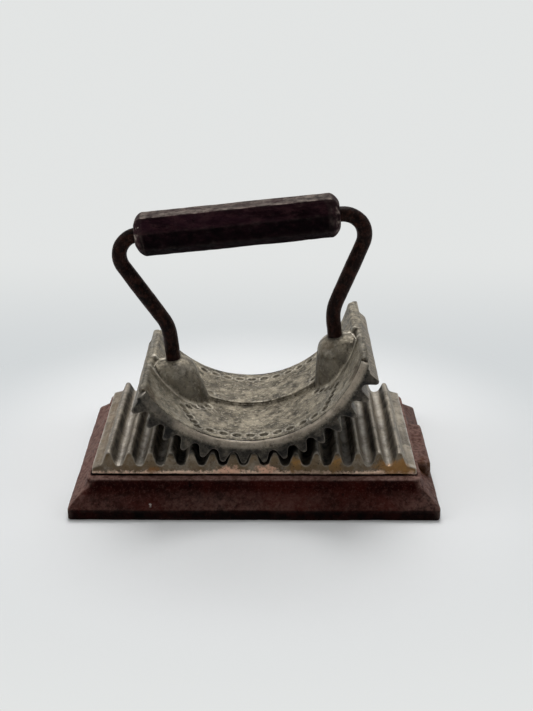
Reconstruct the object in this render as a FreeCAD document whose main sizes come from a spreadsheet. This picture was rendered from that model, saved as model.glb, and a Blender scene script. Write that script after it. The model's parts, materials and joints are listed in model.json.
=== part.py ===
import FreeCAD, Part

import math
import os

import Sketcher

# Fluting iron: a toothed rocker with a bent rod handle rolls on a ribbed plate, which lies on a moulded base.
# The origin is the middle of the base's underside, +X points along the base, +Z up, and -Y is the front.
# The rocker's pieces are drawn level about the axis that they roll round, and then placed as the iron rests.

SIZES = [
    # Base
    ("base_length", 150.0),
    ("base_depth", 94.5),
    ("platform_height", 14.5),
    ("nose_height", 3.9),
    ("nose_rounding", 1.2),
    ("base_corner_radius", 1.5),
    ("flare_angle", 42.2),
    ("flare_length", 6.2),
    ("cove_radius", 7.0),
    ("cove_angle", 84.0),
    ("platform_rounding", 0.7),
    ("lug_length", 43.0),
    ("lug_offset", -2.5),
    ("lug_inset", 1.6),
    ("lug_height", 12.8),
    ("lug_rounding", 1.5),
    ("seat_height", 0.6),
    ("seat_length", 12.0),
    ("seat_width", 7.0),
    ("seat_margin", 2.0),
    # Locating pins
    ("pin_diameter", 5.0),
    ("pin_chamfer", 0.5),
    ("pin_depth", 7.0),
    ("pin_reach", 1.9),
    ("pin_spacing", 84.2),
    ("pin_clearance", 0.3),
    # Fluted plate
    ("plate_depth", 72.6),
    ("plate_thickness", 3.2),
    ("plate_end_margin", 2.65),
    ("plate_end_drop", 0.8),
    ("plate_end_draft", 3.0),
    ("flute_pitch", 8.42),
    ("flute_count", 15),
    ("rib_height", 5.7),
    ("crest_radius", 0.8),
    ("valley_radius", 1.6),
    # Rocker shoe
    ("rolling_teeth", 41),
    ("shoe_teeth", 15),
    ("rest_teeth", 0.87),
    ("tooth_phase", 1.2),
    ("tooth_addendum", 1.1),
    ("tip_clearance", 0.35),
    ("root_clearance", 0.5),
    ("tip_radius", 1.0),
    ("root_radius", 1.9),
    ("shoe_width", 69.0),
    ("shoe_floor", 1.8),
    ("end_land", 0.3),
    ("rim_width", 3.0),
    ("rim_rounding", 2.6),
    # Saddle
    ("saddle_thickness", 1.7),
    ("step_height", 1.5),
    ("step_offset", 0.0),
    ("step_foot_radius", 1.3),
    ("back_rounding", 1.3),
    ("back_margin", 2.0),
    ("end_lip_thickness", 1.3),
    ("end_lip_drop", 1.0),
    ("end_gap", 0.25),
    ("boss_spacing", 68.8),
    ("boss_top_drop", 19.2),
    ("boss_radius", 8.8),
    ("boss_tongue", 11.0),
    ("boss_draft", 7.0),
    ("boss_depth", 26.0),
    ("boss_shoulder", 5.0),
    # Dowels between shoe and saddle
    ("dowel_diameter", 3.2),
    ("dowel_skin", 0.7),
    ("dowel_bite", 2.9),
    ("dowel_tooth", 4),
    ("dowel_inset", 10.5),
    ("dowel_gap", 0.2),
    # Travelling strip in the saddle's underside
    ("strip_thickness", 0.8),
    ("strip_width", 9.0),
    ("strip_offset", 9.0),
    ("strip_angle", 8.0),
    ("strip_clearance", 0.4),
    ("travel_teeth", 6),
    # Handle rod, in a frame of its own that stands on the saddle
    ("rod_diameter", 6.2),
    ("handle_shift", -0.31),
    ("handle_drop", 20.9),
    ("handle_lean", 2.75),
    ("foot_insert", 8.0),
    ("foot_spread", 68.84),
    ("knee_spread", 68.44),
    ("knee_height", 14.83),
    ("knee_bend", 17.76),
    ("shoulder_spread", 111.44),
    ("grip_height", 55.23),
    ("shoulder_bend", 8.76),
    ("foot_gap", 0.3),
    # Grip
    ("grip_flats", 16.7),
    ("grip_turn", 6.5),
    ("grip_left", 42.2),
    ("grip_right", 40.7),
    ("grip_bevel_length", 3.5),
    ("grip_bevel_depth", 3.6),
]

doc = FreeCAD.newDocument("fluting_iron")
sheet = doc.addObject("Spreadsheet::Sheet", "Sizes")
for row, (alias, size) in enumerate(SIZES, start=1):
    sheet.set("A%d" % row, alias)
    sheet.set("B%d" % row, str(size))
    sheet.setAlias("B%d" % row, alias)
doc.recompute()

# Heights and radii that follow from the driving sizes, as expressions on the sheet.
PLATE_BOTTOM = "(Sizes.platform_height + Sizes.seat_height)"
VALLEY_FLOOR = "(%s + Sizes.plate_thickness)" % PLATE_BOTTOM
CREST_HEIGHT = "(%s + Sizes.rib_height)" % VALLEY_FLOOR
RIBBED_HALF = "(Sizes.flute_count * Sizes.flute_pitch / 2)"
PLATE_HALF = "(%s + Sizes.plate_end_margin)" % RIBBED_HALF
TOOTH_ANGLE = "(360 / Sizes.rolling_teeth)"
ROLLING_RADIUS = "(Sizes.flute_pitch * Sizes.rolling_teeth / 2 / pi)"
TIP_CIRCLE = "(%s + Sizes.tooth_addendum)" % ROLLING_RADIUS
AXIS_HEIGHT = "(%s + Sizes.tip_clearance + %s)" % (VALLEY_FLOOR, TIP_CIRCLE)
ROOT_CIRCLE = "(%s + Sizes.tip_clearance - Sizes.rib_height - Sizes.root_clearance)" % TIP_CIRCLE
SEAT_RADIUS = "(%s - Sizes.shoe_floor)" % ROOT_CIRCLE
RIM_RADIUS = "(%s - Sizes.saddle_thickness)" % SEAT_RADIUS
BACK_RADIUS = "(%s - Sizes.step_height)" % RIM_RADIUS
SADDLE_HALF = "(Sizes.shoe_width / 2 - Sizes.rim_width)"
SHOE_HALF_ANGLE = "(%s * Sizes.shoe_teeth / 2 + abs(Sizes.tooth_phase))" % TOOTH_ANGLE
REST_TILT = "(%s * Sizes.rest_teeth + Sizes.tooth_phase)" % TOOTH_ANGLE
REST_SHIFT = "(Sizes.flute_pitch * (mod(Sizes.flute_count; 2) / 2 - Sizes.rest_teeth))"

SHOE_END_ARC = "(Sizes.end_gap / %s * 180 / pi)" % SEAT_RADIUS
LIP_START_ANGLE = "(%s + %s)" % (SHOE_HALF_ANGLE, SHOE_END_ARC)
SADDLE_HALF_ANGLE = "(%s + Sizes.end_lip_thickness / %s * 180 / pi)" % (LIP_START_ANGLE, SEAT_RADIUS)
LIP_RADIUS = "(%s + Sizes.end_lip_drop)" % SEAT_RADIUS
STRIP_OUTER = "(%s - Sizes.strip_clearance)" % SEAT_RADIUS
STRIP_INNER = "(%s - Sizes.strip_thickness)" % STRIP_OUTER
DOWEL_TOP = "(%s + Sizes.dowel_skin)" % RIM_RADIUS
DOWEL_FOOT = "(%s + Sizes.dowel_bite)" % SEAT_RADIUS
DOWEL_LENGTH = "(%s - %s)" % (DOWEL_FOOT, DOWEL_TOP)
LEG_SLOPE = "((Sizes.foot_spread - Sizes.knee_spread) / 2 / Sizes.knee_height)"

UPRIGHT = "rotation(vector(0; 1; 0); %s)"
ROCKER_PLACE = "placement(vector(%s; 0; %s); %s)" % (REST_SHIFT, AXIS_HEIGHT, UPRIGHT % ("0 - " + REST_TILT))
HANDLE_PLACE = "placement(vector(Sizes.handle_shift; 0; 0 - Sizes.handle_drop); %s)" % (
    UPRIGHT % "Sizes.handle_lean")

LINE_START, LINE_END, CENTRE = range(1, 4)
CLEAR = "5"
FULL_TURN = "360"


def number(expression):
    """The value of an expression on the sheet."""
    return float(sheet.evalExpression(expression))


def vector(across, up):
    """A point of a sketch, from two expressions."""
    return FreeCAD.Vector(number(across), number(up), 0)


def minus(expression):
    return "(-%s)" % expression


def bind(feature, **expressions):
    """Ties properties of a feature to expressions on the sheet."""
    for name, expression in expressions.items():
        feature.setExpression(name, expression)


def new_body(label, placement=None):
    body = doc.addObject("PartDesign::Body", label)
    body.Label = label
    if placement:
        body.setExpression("Placement", placement)
    return body


def origin_part(body, role):
    """One of the body's own origin planes or axes."""
    return next(part for part in body.Origin.OriginFeatures if part.Role == role)


def new_sketch(body, name, role, lift=None, spin=None):
    """A sketch on an origin plane of the body, lifted off it and spun in it by expressions."""
    sketch = body.newObject("Sketcher::SketchObject", name)
    sketch.AttachmentSupport = [(origin_part(body, role), "")]
    sketch.MapMode = "FlatFace"
    if lift or spin:
        offset = "placement(vector(0; 0; %s); rotation(vector(0; 0; 1); %s))" % (lift or "0", spin or "0")
        sketch.setExpression("AttachmentOffset", offset)
    return sketch


def tie_point(sketch, geometry, end, across, up):
    """Holds a point of a sketch at two distances from its origin."""
    for kind, expression in (("DistanceX", across), ("DistanceY", up)):
        constraint = Sketcher.Constraint(kind, -1, 1, geometry, end, number(expression))
        index = sketch.addConstraint(constraint)
        sketch.setExpression("Constraints[%d]" % index, expression)


def tie_radius(sketch, geometry, expression):
    index = sketch.addConstraint(Sketcher.Constraint("Radius", geometry, number(expression)))
    sketch.setExpression("Constraints[%d]" % index, expression)


def add_side(sketch, start, end, middle=None):
    """A line, or an arc through a middle point: its number, and which of its ends is the first and the last."""
    if middle is None:
        return sketch.addGeometry(Part.LineSegment(start, end), False), LINE_START, LINE_END
    if (middle - start).cross(end - middle).z > 0:
        return sketch.addGeometry(Part.Arc(start, middle, end), False), LINE_START, LINE_END
    return sketch.addGeometry(Part.Arc(end, middle, start), False), LINE_END, LINE_START


def join(sketch, kind, side, following):
    """Joins the end of one side to the start of the next, plainly or without a corner."""
    sketch.addConstraint(Sketcher.Constraint(kind, side[0], side[2], following[0], following[1]))


def arc_middle(centre, start, end):
    """The middle of the shorter arc from one point to another."""
    return centre + (start - centre + end - centre).normalize() * (start - centre).Length


def draw_ring(sketch, corners, middles={}, smooth=()):
    """A closed ring through corners given as pairs of expressions.

    Sides with a middle point are arcs, and smooth lists the sides that run on into the next without a corner.
    """
    points = [vector(across, up) for across, up in corners]
    count = len(points)
    sides = []
    for index in range(count):
        sides.append(add_side(sketch, points[index], points[(index + 1) % count], middles.get(index)))
    for index, (across, up) in enumerate(corners):
        kind = "Tangent" if index in smooth else "Coincident"
        join(sketch, kind, sides[index], sides[(index + 1) % count])
        tie_point(sketch, sides[index][0], sides[index][1], across, up)
    return sides


def draw_rectangle(sketch, left, right, low, high):
    draw_ring(sketch, [(left, low), (right, low), (right, high), (left, high)])


def draw_circle(sketch, across, up, radius):
    centre = vector(across, up)
    circle = sketch.addGeometry(Part.Circle(centre, FreeCAD.Vector(0, 0, 1), number(radius)), False)
    tie_point(sketch, circle, CENTRE, across, up)
    tie_radius(sketch, circle, radius)


def draw_tooth(sketch, crest, crest_radius, valley, low, foot):
    """One tooth from valley to valley: a round crest, straight flanks and half of each round valley.

    The valleys' arcs start at the low points, and the sides run straight on from there to the feet.
    """
    top = vector(*crest)
    radius = number(crest_radius)
    hollow = vector(*valley)
    bottom = vector(*low)
    hollow_radius = (bottom - hollow).Length
    between = hollow - top
    lean = math.asin((radius + hollow_radius) / between.Length)
    way = -1 if between.y < 0 else 1
    angle = math.atan2(between.y, between.x) + way * lean
    outward = FreeCAD.Vector(way * math.sin(angle), -way * math.cos(angle), 0)
    crest_end = top + outward * radius
    hollow_end = hollow - outward * hollow_radius
    hollow_middle = arc_middle(hollow, bottom, hollow_end)
    crest_middle = top + FreeCAD.Vector(0, -way * radius, 0)

    def flip(point):
        return FreeCAD.Vector(-point.x, point.y, 0)

    base = vector(*foot)
    sides = [
        add_side(sketch, flip(base), flip(bottom)),
        add_side(sketch, flip(bottom), flip(hollow_end), flip(hollow_middle)),
        add_side(sketch, flip(hollow_end), flip(crest_end)),
        add_side(sketch, flip(crest_end), crest_end, crest_middle),
        add_side(sketch, crest_end, hollow_end),
        add_side(sketch, hollow_end, bottom, hollow_middle),
        add_side(sketch, bottom, base),
        add_side(sketch, base, flip(base)),
    ]
    for index, kind in enumerate(["Coincident", "Tangent", "Tangent", "Tangent", "Tangent",
                                  "Coincident", "Coincident", "Coincident"]):
        join(sketch, kind, sides[index], sides[(index + 1) % len(sides)])
    tie_point(sketch, sides[3][0], CENTRE, *crest)
    tie_radius(sketch, sides[3][0], crest_radius)
    for arc, line, foot_end, sign in ((1, 0, 1, minus), (5, 6, 2, str)):
        tie_point(sketch, sides[arc][0], CENTRE, sign(valley[0]), valley[1])
        tie_point(sketch, sides[line][0], 2 if line == 0 else 1, sign(low[0]), low[1])
        tie_point(sketch, sides[line][0], foot_end, sign(foot[0]), foot[1])


def draw_bent_path(sketch, ends, corners):
    """An open path of straight runs with an arc at each corner, which is (across, up, bend radius)."""
    marks = [ends[0]] + [corner[:2] for corner in corners] + [ends[1]]
    points = [vector(across, up) for across, up in marks]
    sides = []
    start = points[0]
    for index, (across, up, bend) in enumerate(corners, start=1):
        before = (points[index - 1] - points[index]).normalize()
        after = (points[index + 1] - points[index]).normalize()
        half_angle = before.getAngle(after) / 2
        reach = number(bend) / math.tan(half_angle)
        bisector = (before + after).normalize()
        middle = points[index] + bisector * (number(bend) / math.sin(half_angle) - number(bend))
        sides.append(add_side(sketch, start, points[index] + before * reach))
        sides.append(add_side(sketch, points[index] + before * reach, points[index] + after * reach, middle))
        start = points[index] + after * reach
    sides.append(add_side(sketch, start, points[-1]))
    for index in range(len(sides) - 1):
        join(sketch, "Tangent", sides[index], sides[index + 1])
    tie_point(sketch, sides[0][0], LINE_START, *ends[0])
    tie_point(sketch, sides[-1][0], LINE_END, *ends[1])
    for index, (across, up, bend) in enumerate(corners):
        tie_radius(sketch, sides[2 * index + 1][0], bend)
        mark = sketch.addGeometry(Part.Point(points[index + 1]), True)
        tie_point(sketch, mark, LINE_START, across, up)
        for run in (sides[2 * index], sides[2 * index + 2]):
            sketch.addConstraint(Sketcher.Constraint("PointOnObject", mark, LINE_START, run[0]))
    return len(sides)


def check_cut(body, name, before):
    """Makes sure that a cut took something away."""
    doc.recompute()
    if body.Shape.isNull() or body.Shape.Volume > before - 0.001:
        raise ValueError("%s cuts nothing from %s" % (name, body.Label))


def pad(body, name, sketch, length, both_ways=True, reverse=False, taper=None):
    feature = body.newObject("PartDesign::Pad", name)
    feature.Profile = sketch
    feature.SideType = "Symmetric" if both_ways else "One side"
    feature.Reversed = reverse
    bind(feature, Length=length)
    if taper:
        bind(feature, TaperAngle=taper)
    return feature


def pocket(body, name, sketch, length, both_ways=True, reverse=False):
    doc.recompute()
    before = body.Shape.Volume
    feature = body.newObject("PartDesign::Pocket", name)
    feature.Profile = sketch
    feature.SideType = "Symmetric" if both_ways else "One side"
    feature.Reversed = reverse
    bind(feature, Length=length)
    check_cut(body, name, before)
    return feature


def revolve(body, name, sketch, angle):
    """Adds a sketch turned about its level axis, half of the angle to each side."""
    feature = body.newObject("PartDesign::Revolution", name)
    feature.Profile = sketch
    feature.ReferenceAxis = (sketch, ["H_Axis"])
    feature.Midplane = True
    bind(feature, Angle=angle)
    return feature


def groove(body, name, sketch, angle):
    """Cuts a sketch turned about its level axis, half of the angle to each side."""
    doc.recompute()
    before = body.Shape.Volume
    feature = body.newObject("PartDesign::Groove", name)
    feature.Profile = sketch
    feature.ReferenceAxis = (sketch, ["H_Axis"])
    feature.Midplane = True
    bind(feature, Angle=angle)
    check_cut(body, name, before)
    return feature


def bore(body, name, placement, radius, depth):
    """Cuts a round hole along the +Z axis of a placement."""
    doc.recompute()
    before = body.Shape.Volume
    feature = body.newObject("PartDesign::SubtractiveCylinder", name)
    bind(feature, Placement=placement, Radius=radius, Height=depth)
    check_cut(body, name, before)
    return feature


def mirror(body, name, features, role):
    doc.recompute()
    feature = body.newObject("PartDesign::Mirrored", name)
    feature.Originals = features
    feature.MirrorPlane = (origin_part(body, role), [""])
    body.Tip = feature
    return feature


def round_edges(body, name, radius, test):
    """Rounds the edges whose two ends and middle all pass a test."""
    doc.recompute()
    rounded = body.Tip
    names = []
    for index, edge in enumerate(rounded.Shape.Edges, start=1):
        first, last = edge.ParameterRange
        if all(test(edge.valueAt(place)) for place in (first, (first + last) / 2, last)):
            names.append("Edge%d" % index)
    if not names:
        raise ValueError("no edge of %s passes the test of %s" % (body.Label, name))
    feature = body.newObject("PartDesign::Fillet", name)
    feature.Base = (rounded, names)
    bind(feature, Radius=radius)
    return feature


def near(first, second):
    return abs(first - second) < 0.001


def radius_at(point):
    """Distance from the axis that the rocker rolls round."""
    return math.hypot(point.x, point.z)


def cut_moulding(body, name, role, half, length):
    """Cuts one side's moulding: a rounded nose, a straight flare, and a cove that runs up to the platform."""
    sketch = new_sketch(body, name + "_profile", role)
    nose = (half, "Sizes.nose_height")
    flare = ("(%s - Sizes.nose_rounding * (1 - sin(Sizes.flare_angle)))" % half,
             "(Sizes.nose_height + Sizes.nose_rounding * cos(Sizes.flare_angle))")
    cove = ("(%s - Sizes.flare_length * cos(Sizes.flare_angle))" % flare[0],
            "(%s + Sizes.flare_length * sin(Sizes.flare_angle))" % flare[1])
    cove_end = ("(%s + Sizes.cove_radius * (sin(Sizes.flare_angle) - sin(Sizes.cove_angle)))" % cove[0],
                "(%s + Sizes.cove_radius * (cos(Sizes.flare_angle) - cos(Sizes.cove_angle)))" % cove[1])
    nose_centre = ("(%s - Sizes.nose_rounding)" % half, "Sizes.nose_height")
    above = "(Sizes.platform_height + %s)" % CLEAR
    outside = "(%s + %s)" % (half, CLEAR)
    middles = {
        0: arc_middle(vector(*nose_centre), vector(*nose), vector(*flare)),
        2: arc_middle(vector("(%s + Sizes.cove_radius * sin(Sizes.flare_angle))" % cove[0],
                             "(%s + Sizes.cove_radius * cos(Sizes.flare_angle))" % cove[1]),
                      vector(*cove), vector(*cove_end)),
    }
    corners = [nose, flare, cove, cove_end, (cove_end[0], above), (outside, above), (outside, nose[1])]
    draw_ring(sketch, corners, middles=middles, smooth=(0, 1))
    return pocket(body, name, sketch, length + " * 2")


def make_base():
    body = new_body("base")
    half_length = "(Sizes.base_length / 2)"
    half_depth = "(Sizes.base_depth / 2)"
    plan = new_sketch(body, "base_plan", "XY_Plane")
    draw_rectangle(plan, minus(half_length), half_length, minus(half_depth), half_depth)
    pad(body, "base_block", plan, "Sizes.platform_height", both_ways=False)
    long_half = number(half_length)
    deep_half = number(half_depth)
    round_edges(body, "base_corners", "Sizes.base_corner_radius",
                lambda p: near(abs(p.x), long_half) and near(abs(p.y), deep_half))
    side = cut_moulding(body, "side_moulding", "XZ_Plane", half_length, "Sizes.base_depth")
    mirror(body, "side_mouldings", [side], "YZ_Plane")
    front = cut_moulding(body, "front_moulding", "YZ_Plane", half_depth, "Sizes.base_length")
    mirror(body, "front_mouldings", [front], "XZ_Plane")
    top = number("Sizes.platform_height")
    round_edges(body, "platform_edge", "Sizes.platform_rounding", lambda p: near(p.z, top))

    lug = new_sketch(body, "lug_plan", "XY_Plane")
    lug_edge = "(%s - Sizes.lug_inset)" % half_length
    lug_root = "(%s - Sizes.flare_length - Sizes.cove_radius)" % half_length
    draw_rectangle(lug, lug_root, lug_edge, "(Sizes.lug_offset - Sizes.lug_length / 2)",
                   "(Sizes.lug_offset + Sizes.lug_length / 2)")
    pad(body, "lug", lug, "Sizes.lug_height", both_ways=False)
    edge = number(lug_edge)
    lug_top = number("Sizes.lug_height")
    round_edges(body, "lug_edges", "Sizes.lug_rounding",
                lambda p: near(p.x, edge) and near(p.z, lug_top))

    seats = new_sketch(body, "seats", "XY_Plane", lift="Sizes.platform_height")
    far_x = "(%s - Sizes.seat_margin)" % PLATE_HALF
    far_y = "(Sizes.plate_depth / 2 - Sizes.seat_margin)"
    near_x = "(%s - Sizes.seat_length)" % far_x
    near_y = "(%s - Sizes.seat_width)" % far_y
    for left, right in ((near_x, far_x), (minus(far_x), minus(near_x))):
        for low, high in ((near_y, far_y), (minus(far_y), minus(near_y))):
            draw_rectangle(seats, left, right, low, high)
    pad(body, "plate_seats", seats, "Sizes.seat_height", both_ways=False)

    holes = new_sketch(body, "pin_holes", "XY_Plane", lift="Sizes.platform_height")
    for side in (minus, str):
        draw_circle(holes, side("(Sizes.pin_spacing / 2)"), "0", "(Sizes.pin_diameter / 2)")
    pocket(body, "base_pin_holes", holes, "Sizes.pin_depth", both_ways=False)


def make_pin(label, side):
    """A pin pressed into the platform, whose rounded head stands in the plate's underside."""
    place = "placement(vector(%s; 0; Sizes.platform_height - Sizes.pin_depth); rotation(vector(0; 0; 1); 0))"
    body = new_body(label, place % side("(Sizes.pin_spacing / 2)"))
    outline = new_sketch(body, label + "_outline", "XY_Plane")
    draw_circle(outline, "0", "0", "(Sizes.pin_diameter / 2)")
    height = "(Sizes.pin_depth + Sizes.seat_height + Sizes.pin_reach)"
    pad(body, label + "_shank", outline, height, both_ways=False)
    top = number(height)
    round_edges(body, label + "_head", "Sizes.pin_chamfer", lambda p: near(p.z, top))


def make_plate():
    body = new_body("fluted_plate")
    slab = new_sketch(body, "slab_profile", "XZ_Plane")
    shoulder = "(%s - Sizes.plate_end_drop)" % VALLEY_FLOOR
    draw_ring(slab, [
        (minus(PLATE_HALF), PLATE_BOTTOM),
        (PLATE_HALF, PLATE_BOTTOM),
        (PLATE_HALF, shoulder),
        (RIBBED_HALF, VALLEY_FLOOR),
        (minus(RIBBED_HALF), VALLEY_FLOOR),
        (minus(PLATE_HALF), shoulder),
    ])
    pad(body, "slab", slab, "Sizes.plate_depth")
    rib = new_sketch(body, "rib_profile", "XZ_Plane")
    rib.setExpression("AttachmentOffset.Base.x", "(Sizes.flute_pitch - %s * 2) / 2" % RIBBED_HALF)
    half_pitch = "(Sizes.flute_pitch / 2)"
    draw_tooth(rib, ("0", "(%s - Sizes.crest_radius)" % CREST_HEIGHT), "Sizes.crest_radius",
               (half_pitch, "(%s + Sizes.valley_radius)" % VALLEY_FLOOR), (half_pitch, VALLEY_FLOOR),
               (half_pitch, "(%s - Sizes.plate_thickness / 2)" % VALLEY_FLOOR))
    first = pad(body, "first_rib", rib, "Sizes.plate_depth")
    doc.recompute()
    ribs = body.newObject("PartDesign::LinearPattern", "ribs")
    ribs.Originals = [first]
    ribs.Direction = (origin_part(body, "X_Axis"), [""])
    ribs.Mode = "Spacing"
    bind(ribs, Offset="Sizes.flute_pitch", Occurrences="Sizes.flute_count")
    body.Tip = ribs
    draft = new_sketch(body, "draft_profile", "YZ_Plane")
    edge = "(Sizes.plate_depth / 2)"
    inner = "(%s - Sizes.plate_end_draft)" % edge
    above = "(%s + %s)" % (CREST_HEIGHT, CLEAR)
    outside = "(%s + %s)" % (edge, CLEAR)
    draw_ring(draft, [(edge, PLATE_BOTTOM), (inner, CREST_HEIGHT), (inner, above), (outside, above),
                      (outside, PLATE_BOTTOM)])
    front = pocket(body, "end_draft", draft, PLATE_HALF + " * 4")
    mirror(body, "end_drafts", [front], "XZ_Plane")
    holes = new_sketch(body, "plate_hole_plan", "XY_Plane", lift=PLATE_BOTTOM)
    for side in (minus, str):
        draw_circle(holes, side("(Sizes.pin_spacing / 2)"), "0",
                    "(Sizes.pin_diameter / 2 + Sizes.pin_clearance)")
    pocket(body, "plate_pin_holes", holes, "Sizes.pin_reach + Sizes.pin_clearance", both_ways=False,
           reverse=True)


def polar(radius, angle):
    """A point at a radius, an angle to the right of straight down from the rolling axis."""
    return "(%s * sin(%s))" % (radius, angle), "(0 - %s * cos(%s))" % (radius, angle)


def make_shoe():
    body = new_body("rocker_shoe", ROCKER_PLACE)
    half_tooth = "(%s / 2)" % TOOTH_ANGLE
    half_width = "(Sizes.shoe_width / 2)"
    land = new_sketch(body, "land_section", "YZ_Plane")
    draw_rectangle(land, minus(half_width), half_width, "(0 - %s + Sizes.end_land)" % ROOT_CIRCLE,
                   "(0 - %s + 2)" % RIM_RADIUS)
    revolve(body, "land", land, SHOE_HALF_ANGLE + " * 2")
    tooth = new_sketch(body, "tooth_profile", "XZ_Plane",
                       spin="(%s * (Sizes.shoe_teeth - 1) / 2 - Sizes.tooth_phase)" % TOOTH_ANGLE)
    draw_tooth(tooth, ("0", "(0 - %s + Sizes.tip_radius)" % TIP_CIRCLE), "Sizes.tip_radius",
               polar("(%s + Sizes.root_radius)" % ROOT_CIRCLE, half_tooth), polar(ROOT_CIRCLE, half_tooth),
               polar("(%s - 3)" % RIM_RADIUS, half_tooth))
    first = pad(body, "first_tooth", tooth, "Sizes.shoe_width")
    doc.recompute()
    teeth = body.newObject("PartDesign::PolarPattern", "teeth")
    teeth.Originals = [first]
    teeth.Axis = (origin_part(body, "Y_Axis"), [""])
    teeth.Mode = "Spacing"
    bind(teeth, Offset=TOOTH_ANGLE, Occurrences="Sizes.shoe_teeth")
    body.Tip = teeth
    tray = new_sketch(body, "tray_profile", "YZ_Plane")
    outside = "(Sizes.shoe_width / 2 + %s)" % CLEAR
    inside = "(0 - %s + 10)" % RIM_RADIUS
    draw_ring(tray, [
        (minus(outside), inside),
        (minus(outside), minus(RIM_RADIUS)),
        (minus(SADDLE_HALF), minus(RIM_RADIUS)),
        (minus(SADDLE_HALF), minus(SEAT_RADIUS)),
        (SADDLE_HALF, minus(SEAT_RADIUS)),
        (SADDLE_HALF, minus(RIM_RADIUS)),
        (outside, minus(RIM_RADIUS)),
        (outside, inside),
    ])
    groove(body, "tray", tray, FULL_TURN)
    face = number("(Sizes.shoe_width / 2)")
    rim = number(RIM_RADIUS)
    round_edges(body, "rim_edges", "Sizes.rim_rounding",
                lambda p: near(abs(p.y), face) and near(radius_at(p), rim))
    for name, place in dowel_places():
        bore(body, "shoe_" + name, place, "(Sizes.dowel_diameter / 2)", DOWEL_LENGTH + " + Sizes.dowel_gap * 2")


def dowel_places():
    """Where each dowel hole starts: its foot in a tooth, with +Z toward the rolling axis."""
    places = []
    for across, angle_sign in (("left", str), ("right", minus)):
        for along, side in (("front", minus), ("back", str)):
            angle = "(%s + Sizes.tooth_phase)" % angle_sign("(Sizes.dowel_tooth * %s)" % TOOTH_ANGLE)
            place = "placement(vector(0; %s; 0); %s) * placement(vector(0; 0; 0 - %s - Sizes.dowel_gap); %s)" % (
                side("(%s - Sizes.dowel_inset)" % SADDLE_HALF), UPRIGHT % angle, DOWEL_FOOT, UPRIGHT % "0")
            places.append(("dowel_%s_%s" % (across, along), place))
    return places


def make_dowels():
    """Blind dowels that hold the shoe under the saddle."""
    for name, place in dowel_places():
        body = new_body(name, "%s * %s" % (ROCKER_PLACE, place))
        outline = new_sketch(body, name + "_outline", "XY_Plane", lift="Sizes.dowel_gap")
        draw_circle(outline, "0", "0", "(Sizes.dowel_diameter / 2)")
        pad(body, name + "_shank", outline, DOWEL_LENGTH, both_ways=False)


def draw_boss_section(sketch, whole):
    """A boss's upright section: a flat top, a round shoulder and a side that widens downward.

    The whole section is for the straight tongue, and its right half is turned round for the boss's inner end.
    """
    shoulder_drop = "(Sizes.boss_shoulder * (1 - sin(Sizes.boss_draft)))"
    flat = "(Sizes.boss_radius - Sizes.boss_shoulder * cos(Sizes.boss_draft))"
    top = minus("Sizes.boss_top_drop")
    side_top = "(%s - %s)" % (top, shoulder_drop)
    bottom = "(%s - Sizes.boss_depth)" % top
    foot = "(Sizes.boss_radius + (Sizes.boss_depth - %s) * tan(Sizes.boss_draft))" % shoulder_drop
    centre = vector(flat, "(%s - Sizes.boss_shoulder)" % top)
    middle = arc_middle(centre, vector(flat, top), vector("Sizes.boss_radius", side_top))
    right = [(flat, top), ("Sizes.boss_radius", side_top), (foot, bottom)]
    if not whole:
        draw_ring(sketch, [("0", top)] + right + [("0", bottom)], middles={1: middle}, smooth=(0,))
        return
    left = [(minus(across), up) for across, up in reversed(right)]
    flipped = FreeCAD.Vector(-middle.x, middle.y, 0)
    draw_ring(sketch, right + left, middles={0: middle, 4: flipped}, smooth=(4, 5))


def add_bosses(body):
    """Two bosses for the rod's feet: a round inner end, and a straight tongue out into the saddle's wall."""
    half_spacing = "(Sizes.boss_spacing / 2)"
    end = new_sketch(body, "boss_end_section", "XZ_Plane")
    end.setExpression("AttachmentOffset.Base.x", half_spacing)
    draw_boss_section(end, whole=False)
    round_end = body.newObject("PartDesign::Revolution", "boss_end")
    round_end.Profile = end
    round_end.ReferenceAxis = (end, ["V_Axis"])
    bind(round_end, Angle=FULL_TURN)
    doc.recompute()
    section = new_sketch(body, "boss_tongue_section", "YZ_Plane", lift=half_spacing)
    draw_boss_section(section, whole=True)
    tongue = pad(body, "boss_tongue", section, "Sizes.boss_tongue", both_ways=False)
    mirror(body, "bosses", [round_end, tongue], "YZ_Plane")


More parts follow.
